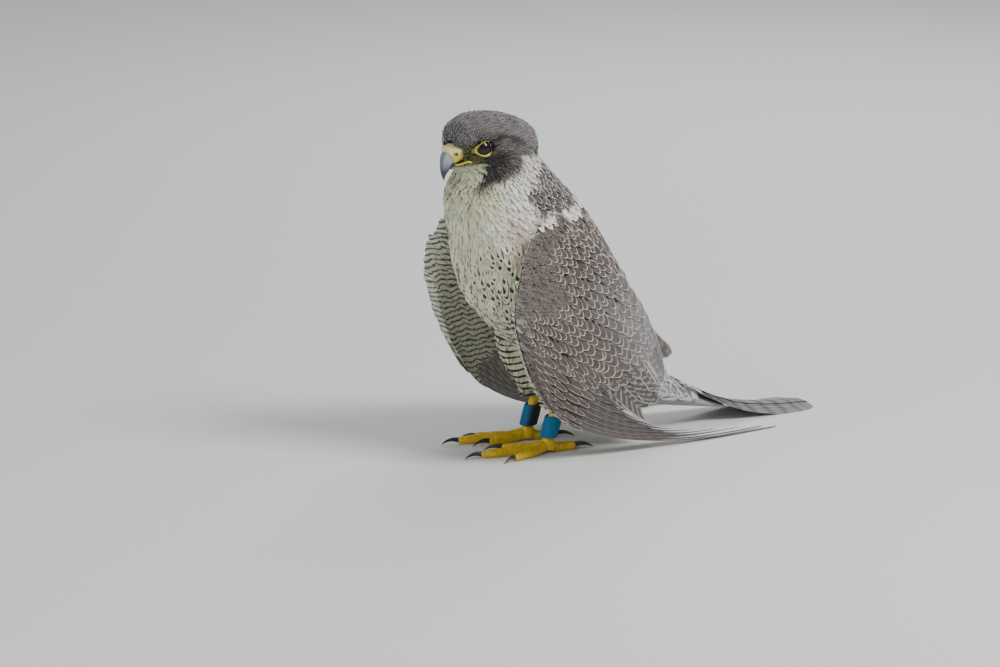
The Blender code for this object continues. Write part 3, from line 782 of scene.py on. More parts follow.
class Coat:
    """Collects the vanes of one coat piece and makes it, in parts of under MOST_TRIANGLES triangles."""

    MOST_TRIANGLES = 190000

    def __init__(self, name, material, replaces=()):
        self.name = name
        self.material = material
        self.replaces = replaces
        self.batches = []

    def add(self, laid, looks, places, thick):
        """Takes vanes, their looks as arrays that fit (vanes, rows, columns, n), and places on the UV map."""
        top = laid.top
        outward = laid.outward
        count, rows, columns = top.shape[:3]
        around = 2 * columns - 2
        across = np.linspace(-1.0, 1.0, columns)
        belly = (1.0 - across**2)[None, None, 1:-1, None]
        under = top[:, :, 1:-1] - outward[:, :, 1:-1] * (thick * belly)
        points = np.concatenate((top, under[:, :, ::-1]), axis=2)
        ring = {}
        for key, values in looks.items():
            values = np.broadcast_to(values, (count, rows, columns, values.shape[-1]))
            ring[key] = np.concatenate((values, values[:, :, 1:-1][:, :, ::-1]), axis=2)
        ring["size"] = ring["size"].copy()
        ring["size"][:, :, columns:, 2] = 1.0
        patch = np.stack(np.broadcast_arrays(
            places[:, None, None, 0] + 0.003 * (ring["vane"][..., 0] * 0.35),
            places[:, None, None, 1] + 0.003 * (ring["vane"][..., 1] - 0.5),
        ), axis=-1)
        self.batches.append((points, ring, patch, vane_faces(rows, columns), around * rows))

    def make(self):
        """Fills one piece after another with vanes."""
        number = 0
        pending = []
        triangles = 0
        for points, ring, patch, faces, size in self.batches:
            per_vane = sum(len(face) - 2 for face in faces)
            start = 0
            while start < len(points):
                room = max(1, (self.MOST_TRIANGLES - triangles) // per_vane)
                end = min(len(points), start + room)
                pending.append((points[start:end], {k: v[start:end] for k, v in ring.items()},
                                patch[start:end], faces, size))
                triangles += (end - start) * per_vane
                start = end
                if triangles > self.MOST_TRIANGLES - per_vane * 2:
                    self.piece(pending, number)
                    number += 1
                    pending = []
                    triangles = 0
        if pending:
            self.piece(pending, number)

    def piece(self, pending, number):
        """Makes one piece from the pending batches."""
        flat_points = []
        faces = []
        looks = {key: [] for key in pending[0][1]}
        patches = []
        start = 0
        for points, ring, patch, template, size in pending:
            flat_points.append(points.reshape(-1, 3))
            patches.append(patch.reshape(-1, 2))
            for key, values in ring.items():
                looks[key].append(values.reshape(-1, values.shape[-1]))
            for vane in range(len(points)):
                base = start + vane * size
                faces.extend([tuple(base + i for i in face) for face in template])
            start += len(points) * size
        suffix = "" if number == 0 else f"_{number + 1}"
        obj = make_object(self.name + suffix, world(np.concatenate(flat_points)), faces, self.material, 60.0)
        mesh = obj.data
        for key, values in looks.items():
            values = np.concatenate(values)
            write = vector_attribute if key in ("vane", "size", "form") else colour_attribute
            write(mesh, key, values)
        uv = np.concatenate(patches)
        corners = np.zeros(len(mesh.loops), dtype=np.int32)
        mesh.loops.foreach_get("vertex_index", corners)
        layer = mesh.uv_layers.new(name="OFBake")
        layer.uv.foreach_set("vector", uv[corners].astype(np.float32).ravel())
        finish_piece(obj, self.replaces if number == 0 else ())


def wide(values, count):
    """Per-vane values (count,), (count, n) or constants as arrays that fit rows and columns."""
    values = np.asarray(values, dtype=float)
    if values.ndim == 0 or (values.ndim == 1 and len(values) != count):
        values = np.broadcast_to(values, (count, *values.shape))
    if values.ndim == 1:
        values = values[:, None]
    return values[:, None, None, :]


def blade_rows(rows, tip_crowding=0.75):
    """Row places along a vane, closer together towards the tip."""
    return np.linspace(0.0, 1.0, rows) ** tip_crowding


def rising(low, high, t, count):
    """Heights of each vane's rows, from low at the root to high at the tip."""
    return np.broadcast_to(low, count)[:, None] * (1.0 - t) + np.broadcast_to(high, count)[:, None] * t


def width_share(t, root=0.35, tip=0.9):
    """A vane's width at its row places, as a share of its greatest width."""
    return (root + (1.0 - root) * smoothstep(0.0, 0.45, t)) * (1.0 - (1.0 - tip) * smoothstep(0.7, 1.0, t))


def with_amount(colour, amount, count):
    """Per-vane colours with an amount of each vane as their fourth value."""
    colour = np.broadcast_to(wide(colour, count), (count, 1, 1, 3))
    return np.concatenate((colour, np.broadcast_to(wide(amount, count), (count, 1, 1, 1))), axis=-1)


def vane_looks(laid, base, fringe, fringe_width, mark=MARK, spot=0.0, bars=0.0, phase=0.25, shaft=0.0):
    """The attributes that the feather material reads."""
    count, rows, columns = laid.top.shape[:3]
    vane = np.zeros((count, rows, columns, 3))
    vane[..., 0] = laid.c
    vane[..., 1] = laid.t[:, None]
    vane[..., 2] = laid.share[:, None] * wide(laid.width, count)[..., 0] / 2
    size = np.zeros((count, rows, columns, 3))
    size[..., 0] = wide(laid.length, count)[..., 0]
    size[..., 1] = wide(RANDOM.random(count), count)[..., 0]
    form = np.zeros((count, rows, columns, 3))
    form[..., 0] = phase
    form[..., 1] = wide(bars, count)[..., 0]
    form[..., 2] = wide(spot, count)[..., 0]
    looks = {"vane": vane, "size": size, "form": form, "base": wide(base, count)}
    looks["fringe"] = with_amount(fringe, fringe_width, count)
    looks["mark"] = with_amount(mark, shaft, count)
    return looks


def even_bars(laid, spacing):
    """Where the points of vanes lie in bars across them, spacing apart."""
    return laid.t[:, None] * (laid.length / spacing)[:, None, None]


# Body and head coat


HEAD_VANE = {"rows": 5, "columns": 3, "roundness": 0.9, "camber": 0.16, "ragged": 0.10}
SOFT_VANE = {"low": -0.17, "rows": 7, "columns": 5, "roundness": 0.8, "camber": 0.05, "ragged": 0.10}
BACK_VANE = {"low": -0.22, "rows": 9, "columns": 7, "roundness": 0.75, "camber": 0.16, "ragged": 0.02}
RUMP_VANE = {"low": -0.22, "rows": 10, "columns": 7, "roundness": 0.75, "camber": 0.12, "ragged": 0.03}


def lay_on_guide(roots, directions, length, width, high, low, rows, columns, roundness, camber, ragged,
                 curl=0.0, steer=None):
    """Vanes that run over the guide from their roots, low to high over it.

    roundness shortens the edges, camber bends them down, curl lifts the tip, and steer turns the way.
    """
    count = len(roots)
    t = blade_rows(rows)
    c = np.linspace(-1.0, 1.0, columns)
    share = width_share(t)
    length = np.broadcast_to(length, count)
    width = np.broadcast_to(width, count)
    places = np.zeros((count, rows, 3))
    normals = np.zeros((count, rows, 3))
    heads = np.zeros((count, rows, 3))
    here, normal = GUIDE.nearest(roots)
    way = directions
    for k in range(rows):
        if k:
            here, normal = GUIDE.nearest(here + way * (length * (t[k] - t[k - 1]))[:, None])
        if steer is not None:
            way = way * 0.6 + steer(here) * 0.4
        way = unit(way - normal * np.sum(way * normal, axis=1, keepdims=True))
        places[:, k] = here
        normals[:, k] = normal
        heads[:, k] = way
    smooth_normals = unit(normals + np.roll(normals, 1, axis=1) * (np.arange(rows) > 0)[None, :, None])
    across = unit(np.cross(smooth_normals, heads))
    roll = RANDOM.normal(0.0, 0.10, count)
    shorter = roundness * np.abs(c) ** 2.2
    shorter = shorter[None, :] * (width / length)[:, None] + RANDOM.random((count, columns)) * ragged
    height = rising(low, high, t, count) + np.broadcast_to(curl, count)[:, None] * t**3
    half = (width / 2)[:, None] * share[None, :]
    lift = height[:, :, None] - camber * half[:, :, None] * c[None, None, :] ** 2
    lift = lift + roll[:, None, None] * half[:, :, None] * c[None, None, :]
    back = (length[:, None, None] * t[None, :, None]) * shorter[:, None, :]
    top = places[:, :, None, :] + across[:, :, None, :] * (half[:, :, None] * c[None, None, :])[..., None]
    top = top - heads[:, :, None, :] * back[..., None] + smooth_normals[:, :, None, :] * lift[..., None]
    outward = np.broadcast_to(smooth_normals[:, :, None, :], top.shape)
    return Laid(top, outward, t, c, share, length, width)


def thinned(points, radius):
    """Indices of points no nearer to each other than their radius, in a seeded random order."""
    tree = KDTree(len(points))
    for i, p in enumerate(points):
        tree.insert(p, i)
    tree.balance()
    radius = np.broadcast_to(radius, len(points))
    alive = np.ones(len(points), dtype=bool)
    kept = []
    for i in RANDOM.permutation(len(points)):
        if alive[i]:
            kept.append(i)
            for _, j, _ in tree.find_range(points[i], radius[i]):
                alive[j] = False
    return np.array(kept)


def thinned_part(points, wanted, radius):
    """Indices, places and number of the wanted points that thinning leaves."""
    chosen = np.flatnonzero(wanted)
    radius = np.broadcast_to(radius, len(points))
    kept = chosen[thinned(points[chosen], radius[chosen])]
    return kept, points[kept], len(kept)


def spots_on(points, faces, count, wanted):
    """Random points spread evenly over the halves of four-cornered faces whose middle is wanted."""
    quads = points[np.array(faces)]
    corners = np.concatenate((quads[:, (0, 1, 2)], quads[:, (0, 2, 3)]))
    corners = corners[wanted(corners.mean(axis=1))]
    first = corners[:, 1] - corners[:, 0]
    second = corners[:, 2] - corners[:, 0]
    area = np.linalg.norm(np.cross(first, second), axis=1)
    pick = RANDOM.choice(len(corners), count, p=area / area.sum())
    u, v = RANDOM.random((2, count))
    flip = u + v > 1
    u, v = np.where(flip, 1 - u, u), np.where(flip, 1 - v, v)
    return corners[pick, 0] + first[pick] * u[:, None] + second[pick] * v[:, None]


def near_eye(points, reach_forward, reach_up):
    """Within an oval of these half lengths round the eye, on either side."""
    f, u, s = head_place(points)
    size = ((f - EYE_OPENING_FORWARD) / reach_forward) ** 2 + (u / reach_up) ** 2
    return (size < 1.0) & (np.abs(s) > 1.0)


def near_bill(points):
    """On or inside the cere, seen at the depth of the skin."""
    _, normals = GUIDE.nearest(points)
    f, u, s = head_place(points - normals * COAT_DEPTH)
    inside = (np.abs(s) < 1.22) & (u < 0.52) & (u > -1.05) & (f > 1.2)
    f, _, _ = head_place(points)
    return inside | (f > 2.1)


def head_lie(points):
    """Feathers of the head run back from a point ahead of the bill, over and under the eye."""
    return unit(points - in_head(3.4, -0.7))


def torso_lie(points):
    """Feathers of the torso run down the body, and a little out from the breast's middle."""
    place, angle, _ = torso_place(points)
    rows = smooth_rows(TORSO, np.clip(place, 0.0, 9.6))
    next_rows = smooth_rows(TORSO, np.clip(place, 0.0, 9.6) + 0.4)
    back = next_rows[:, 0:2] - rows[:, 0:2]
    front = next_rows[:, 2:4] - rows[:, 2:4]
    share = (1 - np.cos(np.radians(angle))) / 2
    yz = back * (1 - share[:, None]) + front * share[:, None]
    yz = yz / np.maximum(np.linalg.norm(yz, axis=1, keepdims=True), 1e-6)
    out = np.sign(points[:, 0]) * 0.12 * np.clip(np.abs(points[:, 0]) / 2, 0, 1)
    return unit(np.column_stack((out, yz)))


def body_lie(points):
    """The lie of the head's feathers, and below the head that of the torso's."""
    _, _, over = torso_place(points)
    on_head = np.linalg.norm(points - BETWEEN_EYES, axis=1) < 8
    share = (smoothstep(-0.6, 1.2, over) * on_head)[:, None]
    return unit(head_lie(points) * share + torso_lie(points) * (1 - share))


def wander(points, scale, seed):
    """A slow, smooth unevenness between about -1 and 1 over the design space."""
    x, y, z = points[..., 0] * scale, points[..., 1] * scale, points[..., 2] * scale
    a = np.sin(x * 1.7 + 1.3 * seed + np.sin(y * 1.3 + seed))
    a = a + np.sin(z * 1.9 + 2.1 * seed + np.sin(x * 1.1))
    b = np.sin(y * 2.3 - seed + np.sin(z * 1.7)) + np.sin((x + z) * 1.3 + 0.7 * seed)
    return (a + b) / 4


def head_colours(points):
    """Base and fringe colours of the head's markings, with painted shadow under the brow and painted
    green-tinted shade on the throat.
    """
    f, u, s = head_place(points)
    side = np.abs(s)
    u = u + 0.14 * wander(points, 3.0, 1.0)
    f = f + 0.16 * wander(points, 3.0, 4.0)
    crown_line = 0.55 - 0.62 * np.maximum(0.0, -1.2 - f)
    crown = smoothstep(crown_line - 0.3, crown_line + 0.15, u)
    mottle = 1.0 + 0.45 * wander(points, 6.0, 2.0)
    base = mix(np.asarray(EAR_BROWN) * mottle[..., None], SLATE, crown)
    fringe = mix(EAR_FRINGE, SLATE_PALE, crown)
    # A blackish band along the crown's edge over the eye and back from it: painted shadow under the brow
    brow = np.exp(-(((u - crown_line + 0.02) / 0.24) ** 2))
    brow = brow * smoothstep(-3.6, -2.6, f) * smoothstep(1.0, -0.5, f)
    base = mix(base, BLACKISH, 0.85 * brow)
    fringe = mix(fringe, BLACKISH, 0.8 * brow)
    malar = smoothstep(-0.45, -0.95, u) * smoothstep(1.35, 0.7, f) * smoothstep(-1.9, -0.7, f)
    malar = malar * (1 - 0.75 * crown)
    base = mix(base, BLACKISH, 0.93 * malar)
    fringe = mix(fringe, MOUSTACHE, 0.9 * malar)
    lore = smoothstep(0.55, 0.95, f) * smoothstep(0.75, 0.3, u) * smoothstep(-1.5, -1.1, u)
    base = mix(base, LORE, lore)
    fringe = mix(fringe, LORE_FRINGE, lore)
    under_ear = smoothstep(-1.8, -2.7, u) * smoothstep(-0.4, -1.9, f)
    low = smoothstep(-2.3, -2.9, u)
    base = mix(base, mix(UNDER_EAR, CREAM, low), 0.8 * under_ear)
    fringe = mix(fringe, mix(UNDER_EAR_FRINGE, WHITE, low), 0.8 * under_ear)
    patch = smoothstep(-1.35, -1.75, u - 0.15 * (f + 3.6))
    patch = patch * smoothstep(-2.5, -3.1, f) * smoothstep(0.4, 1.1, side)
    base = mix(base, WHITE, patch)
    fringe = mix(fringe, WHITE, patch)
    throat_side = 1.95 - 0.22 * np.maximum(0.0, -f)
    throat = smoothstep(-1.15, -1.45, u) * smoothstep(throat_side + 0.2, throat_side - 0.15, side)
    throat = throat * smoothstep(-3.6, -2.0, f)
    # The throat takes cream darkened and tinted green: painted shade and painted green reflected light
    base = mix(base, THROAT_CREAM_WITH_PAINTED_GREEN_SHADE, throat)
    fringe = mix(fringe, THROAT_CREAM_WITH_PAINTED_GREEN_SHADE, throat)
    return base, fringe


def torso_colours(points, place, angle):
    """Base and fringe colours, and shares of scalloped, rump, dropped, barred and rusty plumage."""
    a = np.abs(angle) + 4.0 * wander(points, 1.6, 3.0)
    p = place + 0.12 * wander(points, 2.0, 5.0)
    brown = mix(BROWN, GREY_BACK, smoothstep(3.8, 7.5, p + 0.012 * (60 - a)))
    brown_fringe = mix(BROWN_FRINGE, GREY_FRINGE, smoothstep(3.5, 7.0, p))
    edge = 32.0 + 56.0 * smoothstep(0.5, 1.5, p)
    edge = edge - 62.0 * smoothstep(2.40, 2.55, p) + 72.0 * smoothstep(2.84, 3.0, p)
    scalloped = smoothstep(edge + 3, edge - 3, a) * smoothstep(8.8, 8.3, p)
    rump = smoothstep(8.3, 8.8, p) * smoothstep(100, 86, a)
    # The neck's front starts from the throat's painted green-tinted shade and fades to cream down the breast
    soft_base = mix(THROAT_CREAM_WITH_PAINTED_GREEN_SHADE, CREAM, smoothstep(0.3, 3.2, p))
    soft_base = mix(soft_base, BELLY, smoothstep(4.5, 7.0, p))
    white = smoothstep(120, 98, a) * smoothstep(3.4, 3.0, p)
    collar = smoothstep(1.5, 2.0, p) * smoothstep(3.3, 2.8, p) * smoothstep(142, 122, a)
    soft_base = mix(soft_base, WHITE, np.maximum(white, collar))
    malar = smoothstep(1.3, 0.3, p) * np.exp(-(((a - 133) / 13) ** 2))
    soft_base = mix(soft_base, BLACKISH, 0.92 * malar)
    rusty = np.exp(-(((a - 116) / 9.0) ** 2)) * smoothstep(1.7, 2.2, p) * smoothstep(4.6, 3.6, p)
    soft_base = mix(soft_base, RUSTY, 0.65 * rusty)
    base = mix(soft_base, brown, scalloped)
    fringe = mix(soft_base, brown_fringe, scalloped)
    base = mix(base, RUMP_PALE, rump)
    fringe = mix(fringe, RUMP_FRINGE, rump)
    drops = smoothstep(2.2, 4.4, p) * smoothstep(90, 100, a) * smoothstep(7.2, 6.2, p)
    drops = drops * (0.55 + 0.45 * smoothstep(172, 130, a)) * (1 - 0.8 * rusty)
    bars = smoothstep(5.1, 6.0, p) * smoothstep(8.9, 8.0, p)
    bars = bars + smoothstep(112, 100, a) * smoothstep(4.3, 5.2, p)
    bars = np.clip(bars, 0, 1) * (1 - scalloped) * (1 - rump) * (0.55 + 0.45 * smoothstep(176, 150, a))
    return base, fringe, scalloped, rump, drops, bars, rusty


def belly_phase(points):
    """Where a point of the flank, belly or thigh lies in the wavy cross bars."""
    waves = 0.20 * np.sin(points[..., 0] * 2.3 + 0.8 * np.sin(points[..., 2] * 1.1))
    waves = waves + 0.13 * np.sin(points[..., 1] * 3.1 + points[..., 2] * 0.9)
    return points[..., 2] / 0.56 + waves


def unwrap(points):
    """A point's place on an unwrap of the body: round it and down its length."""
    place, angle, over = torso_place(points)
    round_it = angle / 360.0 + 0.5
    down_it = 0.20 + 0.78 * place / 10.0
    down_it = np.where(over > 0, 0.20 - 0.18 * clamp01(over / 6.5), down_it)
    return np.column_stack((clamp01(round_it), clamp01(down_it)))


def make_head_coat(points, faces):
    """Small vanes, smallest on the face, raised over the brow and low beside the eye and the bill."""
    def wanted(p):
        return torso_place(p)[2] > -0.35
    spots = spots_on(points, faces, HEAD_TRIES, wanted)
    spots = spots[~near_eye(spots, *EYE_OPENING)]
    spots = spots[~near_bill(spots)]
    to_face = smoothstep(3.6, 1.0, np.linalg.norm(spots - in_head(1.6, -0.1), axis=1))
    kept = thinned(spots, 0.25 - 0.10 * to_face)
    spots, to_face = spots[kept], to_face[kept]
    f, u, _ = head_place(spots)
    base, fringe = head_colours(spots)
    count = len(spots)
    length = (0.86 - 0.46 * to_face) * RANDOM.uniform(0.85, 1.15, count)
    width = (0.30 - 0.12 * to_face) * RANDOM.uniform(0.85, 1.15, count)
    pale = base.mean(axis=1) > 0.3
    brow = np.exp(-(((u - 0.84) / 0.22) ** 2)) * smoothstep(-2.0, -1.0, f) * smoothstep(1.6, 1.0, f)
    at_bill = smoothstep(0.95, 1.5, f) * smoothstep(1.3, 0.8, u)
    around_eye = smoothstep(1.5, 1.0, np.hypot(f, u / 0.72)) * (u < 0.5) * (f > -0.5)
    high = 0.16 * brow - 0.12 * at_bill - 0.08 * around_eye + RANDOM.normal(0, 0.015, count)
    length = length * (1 - 0.35 * at_bill)
    fluffy = smoothstep(-1.2, -2.2, u) * smoothstep(0.5, -1.5, f)
    curl = 0.06 * fluffy * RANDOM.random(count)
    directions = body_lie(spots) + RANDOM.normal(0, 0.07, (count, 3))
    low = -0.20 + 0.02 * at_bill
    laid = lay_on_guide(spots, directions, length, width, high, low, curl=curl, steer=body_lie, **HEAD_VANE)
    jitter = RANDOM.uniform(0.86, 1.14, (count, 1))
    streak = np.where(RANDOM.random(count) < 0.6, 0.036, 0.014)
    streak = np.where(pale, 0.0, streak)
    looks = vane_looks(laid, base * jitter, fringe * jitter, streak, mark=base * 0.45, shaft=0.35)
    coat = Coat("head_feathers", MATERIALS["soft_feather"])
    coat.add(laid, looks, unwrap(spots), thick=0.010)
    coat.make()


def nearest_group(points, groups):
    """The name of the nearest of the guides, for each point."""
    nearest = np.argmin([guide.distance(points) for guide in groups.values()], axis=0)
    return np.array(list(groups))[nearest]


def make_body_coat(points, faces):
    """Soft vanes on neck, breast, belly and thighs, scalloped ones on the mantle, chevrons on the rump."""
    def wanted(p):
        return (torso_place(p)[2] < 0.3) & (p[:, 2] > 3.6)
    spots = spots_on(points, faces, BODY_TRIES, wanted)
    groups = {
        "torso": Guide(*design_shells(("head", "neck", "trunk", "rump"))),
        "thigh": Guide(*design_shells(("thigh_left", "thigh_right"))),
        "arm": Guide(*design_shells(ARMS)),
        "tail": Guide(*design_shells(("tail",))),
    }
    group = nearest_group(spots, groups)
    tail_root = (group == "tail") & (spots[:, 1] < TAIL_COVERTS_END)
    covered = (group == "torso") | (group == "thigh") | tail_root
    spots, group = spots[covered], group[covered]
    place, angle, _ = torso_place(spots)
    base, fringe, scalloped, rump, drops, bars, rusty = torso_colours(spots, place, angle)
    head_base, head_fringe = head_colours(spots)
    at_head = smoothstep(0.9, 0.1, place)
    base = mix(base, head_base, at_head)
    fringe = mix(fringe, head_fringe, at_head)
    on_tail = group == "tail"
    thigh = group == "thigh"
    top_side = np.abs(angle) < 90
    rump = np.where(on_tail, top_side, rump)
    scalloped = np.where(on_tail | thigh, 0.0, scalloped)
    rump = np.where(thigh, 0.0, rump)
    base[thigh] = BELLY
    base[on_tail & top_side] = RUMP_PALE
    base[on_tail & ~top_side] = CREAM
    fringe[on_tail] = TAIL_ROOT_FRINGE
    bars = np.where(thigh | (on_tail & ~top_side), 1.0, bars)
    drops = np.where(thigh | on_tail, 0.0, drops)
    is_scalloped = scalloped > 0.5
    is_rump = (rump > 0.5) & ~is_scalloped
    coat = Coat("body_feathers", MATERIALS["soft_feather"])

    neck = smoothstep(3.2, 0.2, place)
    kept, roots, count = thinned_part(spots, ~is_scalloped & ~is_rump, 0.40 - 0.20 * neck)
    length = (1.55 - 0.85 * neck[kept]) * RANDOM.uniform(0.85, 1.15, count)
    width = (0.80 - 0.48 * neck[kept]) * RANDOM.uniform(0.85, 1.15, count)
    carries = np.zeros(count, dtype=bool)
    carries[thinned(roots, 0.47)] = True
    spot = np.where(carries, drops[kept], 0.0) * RANDOM.uniform(0.9, 1.6, count)
    spot = np.where(drops[kept] > 0.1, spot, 0.0)
    on_neck = smoothstep(3.4, 2.6, place[kept]) * smoothstep(120, 100, np.abs(angle[kept]))
    fluff = np.clip(rusty[kept] + on_neck, 0, 1)
    curl = 0.10 * fluff * RANDOM.random(count) + 0.02 * RANDOM.random(count)
    directions = body_lie(roots) + RANDOM.normal(0, 0.10, (count, 3))
    directions[thigh[kept]] = THIGH_LIE
    high = RANDOM.normal(-0.02, 0.010, count) + 0.06 * (spot > 0)
    width = width * (1 + 0.12 * (spot > 0))
    laid = lay_on_guide(roots, directions, length, width, high, curl=curl, **SOFT_VANE)
    tones = RANDOM.uniform(0.93, 1.06, (count, 1))
    looks = vane_looks(laid, base[kept] * tones, base[kept], fringe_width=0.0, spot=spot, bars=bars[kept],
                       phase=belly_phase(laid.top), shaft=0.05)
    coat.add(laid, looks, unwrap(roots), thick=0.012)

    kept, roots, count = thinned_part(spots, is_scalloped, 0.36 + 0.26 * smoothstep(1.5, 5.0, place))
    grow = smoothstep(1.0, 5.5, place[kept])
    length = (1.05 + 1.2 * grow) * RANDOM.uniform(0.9, 1.1, count)
    width = (0.62 + 0.62 * grow) * RANDOM.uniform(0.92, 1.08, count)
    directions = torso_lie(roots) + RANDOM.normal(0, 0.06, (count, 3))
    laid = lay_on_guide(roots, directions, length, width, RANDOM.normal(0.03, 0.015, count), **BACK_VANE)
    tones = RANDOM.uniform(0.88, 1.12, (count, 1))
    grey = smoothstep(4.0, 7.0, place[kept])
    looks = vane_looks(laid, base[kept] * tones, fringe[kept], fringe_width=0.095, mark=fringe[kept] * 0.9,
                       bars=0.35 * grey, phase=laid.t[:, None] * 1.8 + 0.3, shaft=0.5)
    coat.add(laid, looks, unwrap(roots), thick=0.014)

    kept, roots, count = thinned_part(spots, is_rump, 0.55)
    length = 2.3 * RANDOM.uniform(0.9, 1.1, count)
    width = 1.2 * RANDOM.uniform(0.9, 1.1, count)
    directions = torso_lie(roots) + RANDOM.normal(0, 0.05, (count, 3))
    laid = lay_on_guide(roots, directions, length, width, RANDOM.normal(0.03, 0.015, count), **RUMP_VANE)
    chevron = laid.t[:, None] * 3.0 + 0.45 * np.abs(laid.c) + 0.15
    looks = vane_looks(laid, base[kept], fringe[kept], fringe_width=0.05, mark=RUMP_MARK, bars=0.9,
                       phase=chevron, shaft=0.3)
    coat.add(laid, looks, unwrap(roots), thick=0.014)
    coat.make()


# Wings


def wing_side_points(rows, side, ribs, alongs, outer=True):
    """Points, outward directions and length of a rib's step, on the outer or the inner face.

    The wing's frame goes straight on beyond the first and the last rib and ahead of the front edge.
    """
    inside = np.clip(ribs, 0.0, LAST_RIB)
    places, down, outward = wing_frame(rows, inside, alongs, side)

    def between(step):
        high = np.clip(inside + step, 0, LAST_RIB)
        low = np.clip(inside - step, 0, LAST_RIB)
        return wing_points(rows, high, alongs, side) - wing_points(rows, low, alongs, side), high - low
    apart, ribs_apart = between(0.1)
    span = np.linalg.norm(apart, axis=-1) / ribs_apart
    higher, _ = between(0.05)
    places = places + unit(higher) * ((ribs - inside) * span)[..., None]
    before = np.minimum(alongs, 0.0)
    places = places + down * (before * wing_chord(rows, inside))[..., None]
    if not outer:
        share = clamp01(alongs / np.maximum(covert_end(inside), 0.05))
        deep = np.where(alongs < covert_end(inside), arm_thickness(share), COVERT_THICKNESS * 0.7)
        places = places - outward * deep[..., None]
        outward = -outward
    return places, outward, span


def wing_chord(rows, ribs):
    """Length of a rib's curve."""
    total = np.zeros(np.shape(ribs))
    steps = np.linspace(0.0, 1.0, 13)
    last = wing_points(rows, ribs, np.zeros(np.shape(ribs)), 1)
    for step in steps[1:]:
        here = wing_points(rows, ribs, np.full(np.shape(ribs), step), 1)
        total = total + np.linalg.norm(here - last, axis=-1)
        last = here
    return total


LESSER_VANE = {"row_count": 7, "columns": 5, "low": -0.20, "roundness": 0.80, "ragged": 0.08}
MEDIAN_VANE = {"row_count": 11, "columns": 7, "low": -0.22, "roundness": 0.75, "camber": 0.16, "tilt": 0.05}
GREATER_VANE = {"row_count": 14, "columns": 7, "low": -0.20, "camber": 0.16, "tilt": 0.06, "ragged": 0.015}
UNDER_VANE = {"row_count": 7, "columns": 5, "low": -0.10, "roundness": 0.80, "camber": 0.06, "ragged": 0.06}
SECONDARY_VANE = {"row_count": 22, "columns": 9, "low": -0.30, "roundness": 0.42, "camber": 0.06,
                  "tilt": 0.05, "ragged": 0.012, "root_share": 0.6, "tip_share": 0.86}
PRIMARY_VANE = {"row_count": 34, "columns": 9, "low": -0.30, "roundness": 0.90, "camber": 0.05,
                "tilt": 0.07, "ragged": 0.008, "root_share": 0.6, "tip_share": 0.5, "crowd": 0.85}


def lay_on_wing(rows, side, ribs, alongs, length, width, high, low, row_count, columns, roundness=0.6,
                camber=0.12, tilt=0.0, ragged=0.02, outer=True, root_share=0.4, tip_share=0.9, lean=0.0,
                crowd=0.75):
    """Vanes laid in the wing's own grid of ribs and shares along them.

    tilt raises one edge so that each vane overlaps the next, and lean turns the vane towards other ribs.
    """
    count = len(ribs)
    t = blade_rows(row_count, crowd)
    c = np.linspace(-1.0, 1.0, columns)
    share = width_share(t, root_share, tip_share)
    length = np.broadcast_to(length, count)
    width = np.broadcast_to(width, count)
    chord = wing_chord(rows, np.clip(ribs, 0, LAST_RIB))
    shorter = roundness * np.abs(c)[None, :] ** 2.2 * (width / length)[:, None]
    shorter = shorter + RANDOM.random((count, columns)) * ragged
    reach = (length / chord)[:, None, None] * t[None, :, None]
    along = alongs[:, None, None] + reach * (1 - shorter[:, None, :])
    _, _, span = wing_side_points(rows, side, ribs[:, None], along[:, :, columns // 2])
    half = (width / 2)[:, None] * share[None, :]
    rib = ribs[:, None, None] + np.broadcast_to(lean, count)[:, None, None] * t[None, :, None]
    rib = rib + (half / np.maximum(span, 0.12))[:, :, None] * c[None, None, :]
    places, outward, _ = wing_side_points(rows, side, rib, np.minimum(along, 1.0), outer)
    lift = rising(low, high, t, count)[:, :, None]
    lift = lift - camber * half[:, :, None] * c**2 + tilt * half[:, :, None] * c
    top = places + outward * lift[..., None]
    top[..., 2] = np.maximum(top[..., 2], 0.03 + 0.02 * RANDOM.random(count)[:, None, None])
    return Laid(top, outward, t, c, share, length, width)


def run_along(points):
    """Distance run from the first point to each point of a line."""
    return np.concatenate(([0.0], np.cumsum(np.linalg.norm(np.diff(points, axis=0), axis=1))))


LESSER_ROWS = {"first": 0.012, "last": 0.36, "spacing_start": 0.34, "spacing_end": 0.5,
               "row_start": 0.26, "row_end": 0.40}
MEDIAN_ROWS = {"first": 0.03, "last": 0.80, "spacing_start": 0.66, "spacing_end": 1.10,
               "row_start": 0.46, "row_end": 0.80}
UNDER_ROWS = {"first": 0.0, "last": 0.93, "spacing_start": 0.55, "spacing_end": 0.75,
              "row_start": 0.42, "row_end": 0.55}


def covert_rows(rows, side, first, last, spacing_start, spacing_end, row_start, row_end):
    """Staggered places for coverts from first to last share of the covert length: ribs, alongs, shares."""
    found = []
    dense = np.linspace(-0.1, LAST_RIB, 400)
    chord = wing_chord(rows, np.clip(dense, 0, LAST_RIB))
    ends = covert_end(dense)
    deepest = float((chord * ends).max())
    distance = first * deepest
    number = 0
    while distance < last * deepest:
        along = distance / chord
        share = along / ends
        spacing = spacing_start + (spacing_end - spacing_start) * clamp01(distance / deepest)
        run = run_along(wing_side_points(rows, side, dense, along)[0])
        places = np.arange((number % 2) * spacing / 2, run[-1], spacing)
        places = places + RANDOM.normal(0, 0.10 * spacing, len(places))
        ribs = np.interp(places, run, dense)
        shares = np.interp(ribs, dense, share)
        good = shares < last
        alongs = np.interp(ribs[good], dense, along) + RANDOM.normal(0, 0.004, good.sum())
        found.append(np.stack((ribs[good], alongs, shares[good])))
        distance += row_start + (row_end - row_start) * clamp01(distance / deepest)
        number += 1
    return np.concatenate(found, axis=1)


def wing_unwrap(ribs, alongs):
    return np.column_stack((0.03 + 0.94 * clamp01(ribs / LAST_RIB), 0.03 + 0.94 * clamp01(alongs)))


